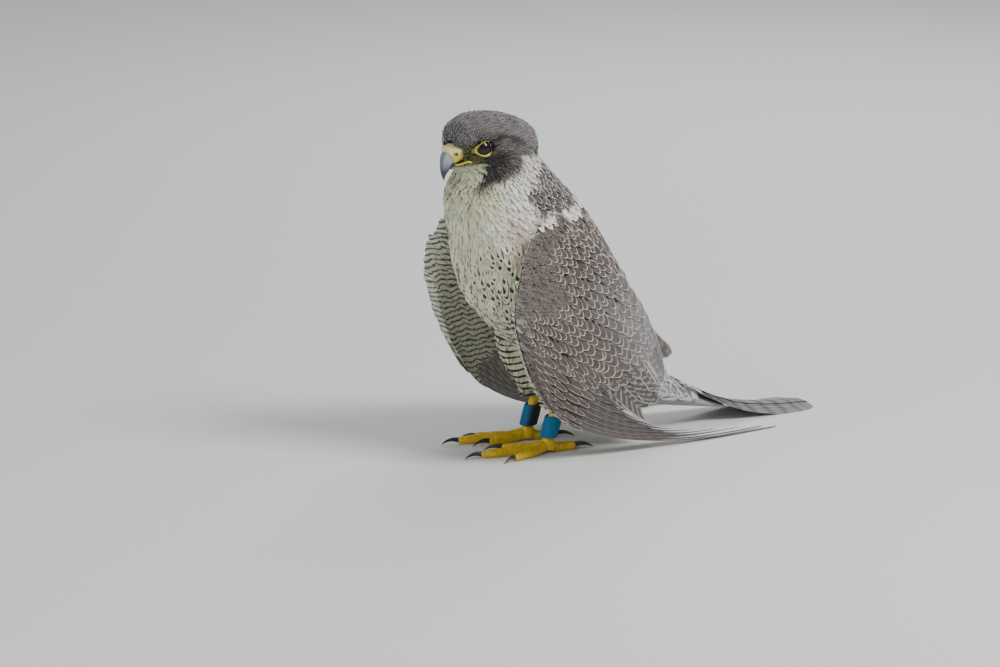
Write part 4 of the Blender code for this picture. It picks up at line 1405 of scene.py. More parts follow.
def covert_colours(points, ribs, shares):
    """Brown in front and greyer towards the back, with whitish flecks at the wrist: pale feathers with a
    painted highlight on the wing's bend.
    """
    grey = smoothstep(2.6, 0.2, ribs + 0.5 * wander(points, 1.0, 6.0)) * smoothstep(0.25, 0.8, shares)
    base = mix(BROWN_WARM, GREY_BACK, 0.9 * grey)
    fringe = mix(BROWN_FRINGE, GREY_FRINGE, grey)
    # Whitish flecks at the wrist, partly pale feathers, partly a painted highlight on the bend
    wrist = np.exp(-(((ribs - 4.1) / 0.7) ** 2)) * smoothstep(0.16, 0.02, shares)
    base = mix(base, WRIST_FLECK_AND_HIGHLIGHT, 0.6 * wrist * (RANDOM.random(len(ribs)) < 0.6))
    return base, fringe, grey


def lesser_end(ribs):
    """Share of the covert length where the fine, plain coverts end and the scalloped ones begin."""
    return 0.26 - 0.20 * smoothstep(2.0, 1.5, ribs) - 0.17 * smoothstep(2.6, 3.4, ribs)


def surface_points(rows, side, ribs, alongs):
    return wing_points(rows, ribs, np.clip(alongs, 0, 1), side)


def add_lesser_coverts(coat, rows, side):
    """Fine, plain coverts along the wing's front edge."""
    ribs, alongs, shares = covert_rows(rows, side, **LESSER_ROWS)
    keep = shares < lesser_end(ribs) + 0.08
    ribs, alongs, shares = ribs[keep], alongs[keep], shares[keep]
    count = len(ribs)
    base, fringe, _ = covert_colours(surface_points(rows, side, ribs, alongs), ribs, shares)
    length = (0.75 + 0.5 * clamp01(shares / 0.4)) * RANDOM.uniform(0.9, 1.15, count)
    width = (0.42 + 0.20 * clamp01(shares / 0.4)) * RANDOM.uniform(0.9, 1.1, count)
    high = RANDOM.normal(0.0, 0.015, count)
    lean = RANDOM.normal(-0.03, 0.05, count)
    laid = lay_on_wing(rows, side, ribs, alongs, length, width, high, lean=lean, **LESSER_VANE)
    tones = RANDOM.uniform(0.85, 1.15, (count, 1))
    looks = vane_looks(laid, base * tones * 1.3, fringe * 0.8, fringe_width=0.024, mark=base * 0.6, shaft=0.4)
    coat.add(laid, looks, wing_unwrap(ribs, alongs), thick=0.012)


def add_median_coverts(coat, rows, side):
    """Scalloped coverts of the upper wing, larger towards the flight feathers."""
    ribs, alongs, shares = covert_rows(rows, side, **MEDIAN_ROWS)
    keep = ribs + RANDOM.normal(0, 0.15, len(ribs)) < 4.3
    keep = keep & (shares > lesser_end(ribs)) & (shares < 0.80 - 0.10 * smoothstep(3.2, 4.5, ribs))
    ribs, alongs, shares = ribs[keep], alongs[keep], shares[keep]
    count = len(ribs)
    base, fringe, grey = covert_colours(surface_points(rows, side, ribs, alongs), ribs, shares)
    size = smoothstep(0.25, 0.8, shares)
    low_wing = smoothstep(3.4, 5.5, ribs)
    length = (1.3 + 1.3 * size) * RANDOM.uniform(0.92, 1.08, count) * (1 + 0.25 * low_wing)
    width = (0.95 + 0.55 * size) * RANDOM.uniform(0.94, 1.06, count) * (1 - 0.20 * low_wing)
    high = RANDOM.normal(0.045, 0.012, count)
    lean = RANDOM.normal(-0.03, 0.03, count)
    laid = lay_on_wing(rows, side, ribs, alongs, length, width, high, lean=lean, **MEDIAN_VANE)
    tones = RANDOM.uniform(0.86, 1.12, (count, 1))
    looks = vane_looks(laid, base * tones, fringe, fringe_width=0.105, mark=fringe * 0.8, bars=0.45 * grey,
                       phase=laid.t[:, None] * 2.0 + 0.1, shaft=0.6)
    coat.add(laid, looks, wing_unwrap(ribs, alongs), thick=0.014)


GREATER_ROWS = (
    {"start": 0.60, "reach": 0.45, "spacing": 0.95, "shift": 0.3, "first_rib": 0.0},
    {"start": 0.50, "reach": 0.42, "spacing": 0.85, "shift": 0.7, "first_rib": 0.0},
    {"start": 0.36, "reach": 0.36, "spacing": 0.72, "shift": 0.5, "first_rib": 4.0},
    {"start": 0.21, "reach": 0.34, "spacing": 0.62, "shift": 0.8, "first_rib": 4.1},
    {"start": 0.08, "reach": 0.32, "spacing": 0.56, "shift": 0.4, "first_rib": 4.2},
)


def add_greater_coverts(coat, rows, side):
    """Long spotted coverts over the roots of the flight feathers, in more rows on the hand."""
    dense = np.linspace(0, LAST_RIB, 400)
    run = run_along(wing_points(rows, dense, covert_end(dense) * 0.66, side))
    for row in GREATER_ROWS:
        ribs = np.interp(np.arange(row["shift"], run[-1], row["spacing"]), run, dense)
        ribs = ribs[ribs >= row["first_rib"]]
        count = len(ribs)
        length = np.maximum(row["reach"] * covert_end(ribs) * wing_chord(rows, ribs), 2.0)
        alongs = row["start"] * covert_end(ribs)
        long_ones = smoothstep(3.6, 5.0, ribs)
        width = 1.45 - 0.45 * long_ones
        high = -0.02 + 0.09 * (0.60 - row["start"])
        laid = lay_on_wing(rows, side, ribs, alongs, length, width, high, **GREATER_VANE)
        points = wing_points(rows, ribs, alongs, side)
        base, fringe, grey = covert_colours(points, ribs, np.full(count, 0.9))
        base = base * RANDOM.uniform(0.9, 1.08, (count, 1))
        mark = mix(QUILL_SPOT, GREY_FRINGE, grey)
        looks = vane_looks(laid, base * 0.95, fringe, fringe_width=0.09, mark=mark,
                           bars=0.65 * (1 - long_ones), phase=even_bars(laid, 0.62), shaft=0.6)
        coat.add(laid, looks, wing_unwrap(ribs, alongs), thick=0.016)


def add_underwing(coat, rows, side):
    """Pale barred coverts of the wing's inner face."""
    ribs, alongs, shares = covert_rows(rows, side, **UNDER_ROWS)
    keep = shares < 0.92 - 0.10 * smoothstep(3.2, 4.2, ribs) - 0.14 * smoothstep(4.5, 6.0, ribs)
    ribs, alongs, shares = ribs[keep], alongs[keep], shares[keep]
    count = len(ribs)
    length = (1.1 + 0.5 * clamp01(shares)) * RANDOM.uniform(0.9, 1.1, count)
    width = (0.72 + 0.2 * clamp01(shares)) * RANDOM.uniform(0.9, 1.1, count)
    high = RANDOM.normal(0.0, 0.010, count)
    laid = lay_on_wing(rows, side, ribs, alongs, length, width, high, outer=False, **UNDER_VANE)
    pale = np.asarray(UNDERWING) * RANDOM.uniform(0.9, 1.1, (count, 1))
    phase = under_phase(laid.top) + RANDOM.normal(0, 0.10, (count, 1, 1))
    mark = mix(MARK, UNDERWING_MARK, RANDOM.random(count))
    strength = RANDOM.uniform(0.75, 1.0, count)
    looks = vane_looks(laid, pale, UNDERWING, fringe_width=0.0, mark=mark, bars=strength, phase=phase,
                       shaft=0.05)
    coat.add(laid, looks, wing_unwrap(ribs, alongs), thick=0.012)


def make_wing_coat(word, rows, side):
    coat = Coat(f"wing_{word}_coverts", MATERIALS["feather"])
    spotted = Coat(f"wing_{word}_greater_coverts", MATERIALS["spotted_feather"])
    under = Coat(f"wing_{word}_underwing", MATERIALS["soft_feather"])
    add_lesser_coverts(coat, rows, side)
    add_median_coverts(coat, rows, side)
    add_greater_coverts(spotted, rows, side)
    add_underwing(under, rows, side)
    for finished in (coat, spotted, under):
        finished.make()


def under_phase(points):
    """Where a point of the underwing lies in its wavy bars."""
    waves = 0.22 * np.sin(points[..., 1] * 2.6 + 0.9 * np.sin(points[..., 2] * 1.3))
    waves = waves + 0.14 * np.sin(points[..., 1] * 5.3 + points[..., 2] * 2.0)
    waves = waves + 0.18 * wander(points, 1.4, 8.0)
    return points[..., 2] / 0.46 + waves


def cell_places(order, count):
    """Places on the UV map for single large feathers, side by side."""
    return np.column_stack(((order + 0.5) / count, np.full(count, 0.5)))


def make_secondaries(word, rows, side):
    """Tertials and secondaries over ribs 0 to 3.5."""
    count = 12
    order = np.arange(count)
    ribs = -0.05 + (FIRST_PRIMARY + 0.15) * (order + 0.5) / count
    ends = 1.0 - 0.035 * np.abs(np.sin(order * 1.9)) - 0.02 * (order % 3 == 1)
    starts = covert_end(ribs) * 0.62
    length = (ends - starts) * wing_chord(rows, ribs)
    laid = lay_on_wing(rows, side, ribs, starts, length, 2.3, -0.06 - 0.012 * order, **SECONDARY_VANE)
    tertial = smoothstep(1.6, 0.3, ribs)
    base = mix(QUILL, TERTIAL_GREY, tertial)
    fringe = mix(QUILL_FRINGE, GREY_FRINGE, tertial)
    looks = vane_looks(laid, base, fringe, fringe_width=0.12, mark=QUILL_SPOT, bars=0.75,
                       phase=even_bars(laid, 0.85), shaft=1.0)
    coat = Coat(f"wing_{word}_secondary_quills", MATERIALS["spotted_feather"], (f"wing_{word}_secondaries",))
    coat.add(laid, looks, cell_places(order, count), thick=0.035)
    coat.make()


def make_primaries(word, rows, side):
    """Primaries beyond rib 3.5, the longest next to the outermost."""
    count = 10
    order = np.arange(count)
    ribs = FIRST_PRIMARY + 0.1 + (LAST_RIB - FIRST_PRIMARY - 0.15) * (order + 0.5) / count
    reach = np.interp(order, (0, 3, 6, 8, 9), (0.60, 0.76, 0.92, 1.0, 0.985))
    starts = covert_end(ribs) * 0.60
    ends = 1.0 - (1.0 - reach) * 0.9
    length = (ends - starts) * wing_chord(rows, ribs)
    width = np.linspace(2.1, 1.7, count)
    high = -0.02 - 0.014 * order
    laid = lay_on_wing(rows, side, ribs, starts, length, width, high, lean=-0.12, **PRIMARY_VANE)
    looks = vane_looks(laid, QUILL, QUILL_FRINGE, fringe_width=0.06, mark=QUILL_SPOT, bars=0.12,
                       phase=even_bars(laid, 1.15), shaft=1.0)
    coat = Coat(f"wing_{word}_primary_quills", MATERIALS["spotted_feather"], (f"wing_{word}_primaries",))
    coat.add(laid, looks, cell_places(order, count), thick=0.035)
    coat.make()


# Tail


def make_tail():
    """Six pairs of tail feathers, the middle pair on top, closed to a narrow fan."""
    coat = Coat("tail_feathers", MATERIALS["feather"], ("tail",))
    rows, columns = 30, 9
    t = blade_rows(rows, 0.85)
    c = np.linspace(-1.0, 1.0, columns)
    share = width_share(t, 0.55, 0.82)
    order = np.arange(12)
    offset = order - 5.5
    out = np.abs(offset)
    count = len(order)
    length = 15.8 - 0.10 * out
    width = np.full(count, 2.0)
    first, last = 0.25, 7.0
    end = last - 0.05 * out
    shorter = 0.45 * np.abs(c)[None, :] ** 2.2 * (width / length)[:, None]
    place = first + (end - first)[:, None, None] * t[None, :, None] * (1 - shorter[:, None, :])
    values = smooth_rows(TAIL, place)
    room = np.maximum(np.minimum(values[..., 4], 2.6), 1.6) - 0.85
    x = offset[:, None, None] / 5.5 * room
    x = x + (width / 2)[:, None, None] * share[None, :, None] * c[None, None, :]
    drop = 0.05 * out[:, None, None]
    sway = 0.05 * np.sign(offset)[:, None, None] * -c[None, None, :]
    arch = 0.03 * x**2
    top = np.stack((x, values[..., 0], values[..., 1] - drop - arch + sway - 0.04), axis=-1)
    top[..., 2] = np.maximum(top[..., 2], 0.04 + 0.012 * (5.5 - out)[:, None, None])
    outward = np.broadcast_to(np.array((0.0, 0.25, 0.97)), top.shape)
    laid = Laid(top, outward, t, c, share, length, width)
    looks = vane_looks(laid, TAIL_GREY, TAIL_FRINGE, fringe_width=0.05, mark=TAIL_MARK, bars=0.9,
                       phase=even_bars(laid, 1.35), shaft=0.8)
    coat.add(laid, looks, cell_places(order, count), thick=0.03)
    coat.make()


# Eyes, bill, feet and anklets


def painted(colour, count):
    return np.tile(np.asarray(colour, dtype=float), (count, 1))


def circle(around):
    return np.linspace(0, math.tau, around, endpoint=False)


def bill_section(values, turns, squareness=2.2):
    """Points round a bill row: forward, up and side for turns from the ridge round to the ridge."""
    ridge_f, ridge_u, edge_f, edge_u, half = values
    power = 2.0 / squareness
    along = np.sign(np.cos(turns)) * np.abs(np.cos(turns)) ** power
    across = np.sign(np.sin(turns)) * np.abs(np.sin(turns)) ** power
    forward = (ridge_f + edge_f) / 2 + (ridge_f - edge_f) / 2 * along
    up = (ridge_u + edge_u) / 2 + (ridge_u - edge_u) / 2 * along
    return np.stack((forward, up, half * across), axis=-1)


def bill_rings(rows, steps, around, tip=None):
    """Rings (steps, around, 3) along a bill part, drawn together towards the tip, and their turns."""
    turns = circle(around)
    rings = [bill_section(smooth_rows(rows, place), turns) for place in np.linspace(0, len(rows) - 1, steps)]
    if tip is not None:
        last = rings[-1]
        goal = np.array((tip[0], tip[1], 0.0))
        for share in (0.45, 0.75, 0.93):
            rings.append(last * (1 - share) + goal * share)
    return np.array(rings), turns


def make_cere():
    """Waxy skin round the bill's root, paler towards the top with a painted highlight, with nostrils: dents
    whose middles are painted dark as the openings' shade.
    """
    rings, _ = bill_rings(CERE, 60, 96)
    rings[..., 2] *= 1 + 0.36 * smoothstep(2.28, 1.85, rings[..., 0]) * smoothstep(0.55, 0.1, rings[..., 1])
    rings[..., 1] -= 0.20 * smoothstep(0.15, 0.7, rings[..., 1]) * smoothstep(2.35, 1.9, rings[..., 0])
    place = np.stack((rings[..., 0], rings[..., 1], np.abs(rings[..., 2])), axis=-1)
    away = np.linalg.norm((place - NOSTRIL) * np.array((1.0, 1.0, 0.6)), axis=-1)
    dent = -0.16 * smoothstep(0.16, 0.10, away) + 0.05 * np.exp(-(((away - 0.22) / 0.06) ** 2))
    swell = 0.05 * np.exp(-(((rings[..., 1] - 0.30) / 0.35) ** 2)) * smoothstep(0.9, 1.6, rings[..., 0])
    rings[..., 2] += np.sign(rings[..., 2]) * (dent + swell)
    shell, faces = loft(in_head(rings[..., 0], rings[..., 1], rings[..., 2]))
    tint = painted(CERE_YELLOW, len(shell))
    flat = rings.reshape(-1, 3)
    count = len(flat)
    # Paler towards the top: the cere's own pale tone with a painted highlight
    tint[:count] = mix(tint[:count], CERE_PALE_AND_HIGHLIGHT, 0.12 + 0.50 * smoothstep(-0.5, 0.3, flat[:, 1]))
    # The dents' middles are painted dark: painted shade of the nostrils' openings
    tint[:count] = mix(tint[:count], NOSTRIL_PAINTED_SHADE, smoothstep(0.165, 0.13, away.ravel()))
    tint[:count] = mix(tint[:count], CERE_GREEN, 0.5 * smoothstep(1.9, 1.6, flat[:, 0]))
    bare_piece("cere_skin", shell, faces, "cere", "bare_skin", ("cere",), tint)

    shells = []
    for side in (-1, 1):
        centre = in_head(NOSTRIL[0] + 0.02, NOSTRIL[1], side * (NOSTRIL[2] - 0.05))
        shells.append(ball(centre, 0.062, 12, 8))
    bare_piece("nostril_tubercles", *join_shells(shells), "lid", "bare_skin", smooth_angle=50.0)


def make_bill():
    """Upper horn with its tooth and dark hooked tip, lower horn, and the gape's flesh behind them."""
    rings, turns = bill_rings(BILL_UPPER, 34, 44, BILL_UPPER_TIP)
    edge_f = rings[..., 0]
    low = smoothstep(0.35, 1.0, -np.cos(turns))[None, :]
    tooth = np.exp(-(((edge_f - 2.50) / 0.12) ** 2)) - 0.8 * np.exp(-(((edge_f - 2.27) / 0.10) ** 2))
    rings[..., 1] -= 0.10 * tooth * low * (np.abs(np.sin(turns)) > 0.2)[None, :]
    shell, faces = loft(in_head(rings[..., 0], rings[..., 1], rings[..., 2]))
    flat = rings.reshape(-1, 3)
    count = len(flat)
    tint = painted(BILL_TIP, len(shell))
    tint[:count] = mix(BILL_BASE, BILL_TIP, smoothstep(-0.55, -1.55, flat[:, 1]))
    ridge = np.tile(smoothstep(0.8, 1.0, np.cos(turns)), len(rings))
    tint[:count] = mix(tint[:count], BILL_TIP, 0.45 * ridge)
    bare_piece("bill_upper_horn", shell, faces, "horn", "horn", ("bill_upper",), tint)

    rings, _ = bill_rings(BILL_LOWER, 20, 32, BILL_LOWER_TIP)
    shell, faces = loft(in_head(rings[..., 0], rings[..., 1], rings[..., 2]))
    flat = rings.reshape(-1, 3)
    tint = painted(BILL_TIP, len(shell))
    root_colour = np.asarray(CERE_YELLOW) * 0.7
    tint[:len(flat)] = mix(root_colour, BILL_BASE, smoothstep(1.35, 1.7, flat[:, 0]))
    bare_piece("bill_lower_horn", shell, faces, "horn", "horn", ("bill_lower",), tint)

    shells = []
    for side in (-1, 1):
        path = [in_head(f, u, s * side) for f, u, s in ((2.12, -1.02, 0.72), (1.90, -1.02, 1.02))]
        on_face = in_head((1.62, 1.35, 1.08), (-0.98, -1.02, -1.08), 1.8 * side)
        near, normals = GUIDE.nearest(on_face)
        path += list(near - normals * np.array((0.10, 0.11, 0.17))[:, None])
        shells.append(tube(path, (0.05, 0.075, 0.085, 0.085, 0.045), 22, 12))
    bare_piece("gape_flesh", *join_shells(shells), "lid", "bare_skin", smooth_angle=50.0)


def ball(centre, radius, around, rows):
    rings = []
    angles = circle(around)
    for k in range(1, rows):
        turn = math.pi * k / rows
        high = np.full(around, math.cos(turn))
        ring = np.stack((np.cos(angles) * math.sin(turn), np.sin(angles) * math.sin(turn), high), axis=-1)
        rings.append(np.asarray(centre) + ring * radius)
    return loft(rings)


def tube(path, radii, steps, around, scale=(1.0, 1.0), rounding=None):
    """A shell along a smooth curve through path; scale flattens it sideways and upwards."""
    places = np.linspace(0, len(path) - 1, steps)
    line = smooth_rows(path, places)
    radius = smooth_rows(np.reshape(radii, (-1, 1)), places)[:, 0]
    way = unit(np.gradient(line, axis=0))
    up = np.array((0.0, 0.0, 1.0))
    sideways = unit(np.cross(way, up) + 1e-6)
    upward = unit(np.cross(sideways, way))
    turns = circle(around)
    size = radius[:, None] * np.ones(around)[None, :]
    if rounding is not None:
        size = size * rounding(np.linspace(0, 1, steps)[:, None], turns[None, :])
    rings = line[:, None, :] + sideways[:, None, :] * (size * np.cos(turns) * scale[0])[..., None]
    rings = rings + upward[:, None, :] * (size * np.sin(turns) * scale[1])[..., None]
    return loft(rings)


def make_eyeball(word, side):
    """Front of a ball with a cornea that stands out a little, brown iris and black pupil."""
    around = 40
    turns = circle(around)
    rings = []
    colours = []
    for k in range(1, 24):
        turn = math.pi * 0.62 * k / 23
        reach = EYE_RADIUS * math.sin(turn)
        bulge = EYE_RADIUS * (1.0 + 0.05 * smoothstep(0.75, 0.2, turn))
        s = EYE_SIDE + bulge * math.cos(turn)
        rings.append(in_head(reach * np.cos(turns), reach * np.sin(turns), np.full(around, side * s)))
        iris = mix(PUPIL, IRIS, smoothstep(0.26, 0.31, reach))
        iris = mix(iris, EYE_RIM, smoothstep(0.46, 0.56, reach))
        colours.append(painted(iris, around))
    tint = np.concatenate(colours + [painted(EYE_BACK, 2)])
    bare_piece(f"eyeball_{word}", *loft(rings), "eye", "eye", (f"eye_{word}",), tint)


# Share of the way from the eye to the feathers, and height over the straight line between them
LID_PROFILE = (
    (0.0, -0.16), (0.0, 0.015), (0.14, 0.045), (0.40, 0.055), (0.66, 0.035), (0.86, 0.0), (1.0, -0.12),
)


def make_eyelid(word, side):
    """Bare ring from the eye out to the feathers, wider in front, dull green in front, and darkened on top by
    painted shade from the brow.
    """
    turns = circle(56)
    front = np.clip(np.cos(turns), 0, 1)
    inner_f = 0.735 * np.cos(turns)
    inner_u = 0.545 * np.sin(turns)
    outer_f = (0.86 + 0.30 * front**6) * np.cos(turns)
    outer_u = 0.72 * np.sin(turns) * (1 - 0.30 * front**2)
    outer_u = outer_u * np.where(np.sin(turns) > 0, 0.88, 1.02)
    on_ball = EYE_SIDE + np.sqrt(np.maximum(EYE_RADIUS**2 - inner_f**2 - inner_u**2, 0.01))
    near, _ = GUIDE.nearest(in_head(outer_f, outer_u, side * 2.6))
    _, _, outer_side = head_place(near)
    outer_side = np.minimum(np.abs(outer_side), on_ball + 0.02 + 0.20 * np.clip(-np.cos(turns), 0, 1))
    rings = []
    for share, rise in LID_PROFILE:
        f = inner_f * (1 - share) + outer_f * share
        u = inner_u * (1 - share) + outer_u * share
        s = on_ball * (1 - share) + outer_side * share + rise
        rings.append(in_head(f, u, side * s))
    rings = np.array(rings)
    rows, around = rings.shape[:2]
    shares = np.array([share for share, _ in LID_PROFILE])
    olive = smoothstep(0.15, 0.75, shares)[:, None] * smoothstep(0.55, 0.98, np.cos(turns))[None, :]
    # top_shade darkens the ring's top: painted shade from the brow
    top_shade = 0.55 * smoothstep(0.3, 0.8, np.sin(turns))[None, :]
    tint = mix(LID_YELLOW, LID_OLIVE, np.maximum(olive, top_shade)).reshape(-1, 3)
    faces = ring_faces(rows, around, closed=True)
    bare_piece(f"eyelid_ring_{word}", rings, faces, "eye_ring", "bare_skin", tint=tint)


def toe_shell(foot, yaw, turn, length, root_radius, tip_radius, side):
    """A toe with scutes on top, pads below and slight joints. Also its end and its direction."""
    heading = math.radians(yaw + side * turn)
    direction = np.array((-math.sin(heading), -math.cos(heading), 0.0))
    shares = np.array((0.0, 0.14, 0.32, 0.52, 0.72, 0.9, 1.0))
    radii = root_radius + (tip_radius - root_radius) * shares
    heights = radii * 0.92 + 0.26 * np.maximum(0.0, 1.0 - shares / 0.32)
    path = foot + direction * (length * shares)[:, None]
    path[:, 2] += heights
    radii[-1] *= 0.86
    path = np.vstack((path, path[-1] + direction * 0.14 - np.array((0.0, 0.0, 0.04))))
    radii = np.append(radii, radii[-1] * 0.45)

    def rounding(t, turns):
        top = clamp01(np.sin(turns))
        below = clamp01(-np.sin(turns))
        scutes = 0.07 * (np.abs(np.sin(math.pi * t * length / 0.30)) ** 0.45 - 0.6)
        scutes = scutes * smoothstep(0.15, 0.7, top)
        pads = 0.10 * np.sin(math.pi * t * length / 1.1) ** 2 * below
        joints = 0.05 * np.cos(math.tau * t * length / 1.9)
        return 1.0 + scutes + pads + joints

    shell, faces = tube(path, radii, int(length * 26), 26, (1.0, 1.0), rounding)
    shell[:, 2] = np.maximum(shell[:, 2], 0.0)
    return shell, faces, path[-2], direction


def claw_shell(toe_end, direction, toe_radius, length):
    """A claw that bends down more and more towards its point."""
    start = toe_end - direction * 0.10
    steps = 7
    path = [start]
    heading = math.radians(-18.0)
    for i in range(1, steps + 1):
        slope = heading + math.radians(62.0) * i / steps
        step = direction * math.cos(slope) - np.array((0.0, 0.0, math.sin(slope)))
        path.append(path[-1] + step * (length + 0.15) / steps)
    path = np.array(path)
    lowest = path[-1][2] - 0.02
    path[:, 2] += np.linspace(0, 1, len(path)) * max(0.0, 0.03 - lowest)
    radii = toe_radius * 0.70 * (1.0 - np.linspace(0, 0.97, len(path))) ** 0.75
    return tube(path, radii, 26, 14, (0.82, 1.0))


def shin_centre(foot, height):
    """Middle of the shin at a height: it leans back as it rises."""
    share = (height - SHIN_START) / (SHIN_END - SHIN_START)
    return foot + np.array((0.0, SHIN_LEAN * share, height))


def make_shin(word, foot):
    """Shin with broad scutes across its front."""
    turns = circle(36)
    rings = []
    for height in np.linspace(1.05, 4.6, 60):
        scute = 0.035 * (abs(math.sin(math.pi * height / 0.34)) ** 0.5 - 0.5)
        size = 0.42 * (1.0 + scute * smoothstep(0.1, 0.8, -np.sin(turns)))
        offset = np.stack((0.9 * size * np.cos(turns), 1.1 * size * np.sin(turns), 0 * turns), axis=-1)
        rings.append(shin_centre(foot, height) + offset)
    bare_piece(f"shin_{word}", *loft(rings), "foot", "bare_skin", (f"tarsus_{word}",))


def make_feet():
    for word, foot, yaw, spread, side in STANCE:
        shells = []
        for name, turn, length, root_radius, tip_radius, claw_length in TOES:
            turn = turn if name == "back" else turn * spread
            shell, faces, end, direction = toe_shell(foot, yaw, turn, length, root_radius, tip_radius, side)
            shells.append((shell, faces))
            claw = claw_shell(end, direction, tip_radius, claw_length)
            bare_piece(f"talon_{name}_{word}", *claw, "claw", "horn", (f"claw_{name}_{word}",))
        stub = [foot + np.array((0.0, 0.0, z)) for z in (0.25, 0.5, 0.8, 1.2)]
        shells.append(tube_up(stub, (0.62, 0.66, 0.58, 0.46), 14, 24))
        melt_feet(word, *join_shells(shells))
        make_shin(word, foot)
        make_anklet(word, foot)


def tube_up(path, radii, steps, around):
    """A shell of level rings round a path that rises."""
    places = np.linspace(0, len(path) - 1, steps)
    line = smooth_rows(path, places)
    radius = smooth_rows(np.reshape(radii, (-1, 1)), places)[:, 0]
    turns = circle(around)
    ring = np.stack((np.cos(turns), np.sin(turns), 0 * turns), axis=-1)
    return loft(line[:, None, :] + radius[:, None, None] * ring[None])


def melt_feet(word, points, faces):
    """One foot from its toes' shells, flat on the floor."""
    obj = turned_out(make_object(f"toes_{word}", world(points), faces, MATERIALS["foot"]))
    add_modifier(obj, "REMESH", mode="VOXEL", voxel_size=0.00045)
    add_modifier(obj, "SMOOTH", iterations=1)
    settled(obj)
    places = vertex_values(obj.data, "co")
    places[:, 2] = np.maximum(places[:, 2], 0.0)
    move_vertices(obj.data, places)
    obj.data.shade_smooth()
    finish_piece(obj, (f"foot_{word}",))


def make_anklet(word, foot):
    """A leather cuff with rolled edges and a lapped end."""
    turns = circle(72)
    profile = [(0.53, 1.42), (0.58, 1.33), (0.66, 1.30), (0.735, 1.35), (0.755, 1.45), (0.745, 1.55)]
    profile += [(0.742 + 0.02 * math.sin(math.pi * k / 8), 1.55 + 1.25 * k / 8) for k in range(1, 8)]
    profile += [(0.745, 2.80), (0.755, 2.90), (0.735, 3.00), (0.66, 3.05), (0.58, 3.02), (0.53, 2.93)]
    past_end = (turns - 2.2) % math.tau
    lap = 0.05 * smoothstep(0.0, 0.35, past_end) * smoothstep(1.4, 1.0, past_end)
    rings = []
    for radius, height in profile:
        folds = 0.018 * np.sin(turns * 3 + height * 2.0) + 0.012 * np.sin(turns * 7 - height * 3.1)
        size = radius * (1.0 + folds) + (lap if radius > 0.6 else 0)
        offset = np.stack((size * np.cos(turns), size * np.sin(turns), 0 * turns), axis=-1)
        rings.append(shin_centre(foot, height) + offset)
    rings = np.array(rings)
    rows, around = rings.shape[:2]
    tint = painted(ANKLET_BLUE, rows * around)
    # The right cuff turns near-black round one side: its dark part together with painted shadow
    if word == "right":
        dark = smoothstep(-0.15, 0.85, np.cos(turns - 0.35))
        tint = mix(tint, ANKLET_BLACK_AND_PAINTED_SHADOW, np.tile(dark, rows))
    faces = ring_faces(rows, around, closed=True)
    bare_piece(f"cuff_{word}", rings, faces, "leather", "anklet", (f"anklet_{word}",), tint, 60.0)


# Skin


def drawn_back(points):
    """The skin's points, with the middle of the face moved in behind the cere."""
    f, u, s = head_place(points)
    back = 0.32 * smoothstep(1.2, 1.7, f) * smoothstep(0.9, 0.5, u) * smoothstep(-1.5, -1.1, u)
    return in_head(f - back, u, s)


def wing_sheet(rows, side):
    """A thick sheet inside the wing, under its coverts."""
    ribs = np.linspace(0.05, LAST_RIB - 0.05, 44)
    shares = np.linspace(0.02, 0.97, 22)
    grid_ribs, grid_shares = np.meshgrid(ribs, shares, indexing="ij")
    alongs = grid_shares * covert_end(grid_ribs)
    face, _, outward = wing_frame(rows, grid_ribs, alongs, side)
    upper = face - outward * 0.13
    lower = face - outward * np.maximum(arm_thickness(grid_shares) - 0.12, 0.24)[..., None]
    return loft(np.concatenate((upper, lower[:, ::-1]), axis=1))


def tail_root():
    """The flesh that the tail feathers grow from."""
    turns = circle(24)
    rings = []
    for back_y, back_z, front_y, front_z, half in smooth_rows(TAIL, np.linspace(0.0, 2.4, 12)):
        middle = np.array((0.0, (back_y + front_y) / 2, (back_z + front_z) / 2 - 0.10))
        reach = np.array((0.0, back_y - front_y, back_z - front_z)) / 2
        size = max(0.2, np.linalg.norm(reach) - 0.38) / np.linalg.norm(reach)
        ring = middle + reach * size * np.cos(turns)[:, None]
        ring[:, 0] += (half - 0.3) * np.sin(turns)
        rings.append(ring)
    return loft(rings)


def skin_colours(points, normals):
    """The coat's markings on the skin, with plain wings and tail root, and the bare face round the eye dark
    like its feathers and their painted shadow.
    """
    place, angle, over = torso_place(points)
    base = torso_colours(points, place, angle)[0]
    base = np.where((over > 0.1)[:, None], head_colours(points)[0], base)
    wing = (np.abs(points[:, 0]) > 3.9) | (points[:, 1] > 6.5)
    inner_face = normals[:, 0] * np.sign(points[:, 0]) < -0.1
    wing_base = np.where(inner_face[:, None], np.asarray(UNDERWING) * 0.6, np.asarray(BROWN) * 0.8)
    base = np.where(wing[:, None] & (over < 0.1)[:, None], wing_base, base)
    on_tail = (points[:, 1] > 8.5) & (np.abs(points[:, 0]) < 3.2)
    base = np.where(on_tail[:, None], np.asarray(RUMP_PALE) * 0.9, base)
    # Round the eye the skin is painted dark: the feathers' own dark and their painted shadow
    return np.where(near_eye(points, *BARE_FACE)[:, None], FACE_DARK_WITH_PAINTED_SHADOW, base)


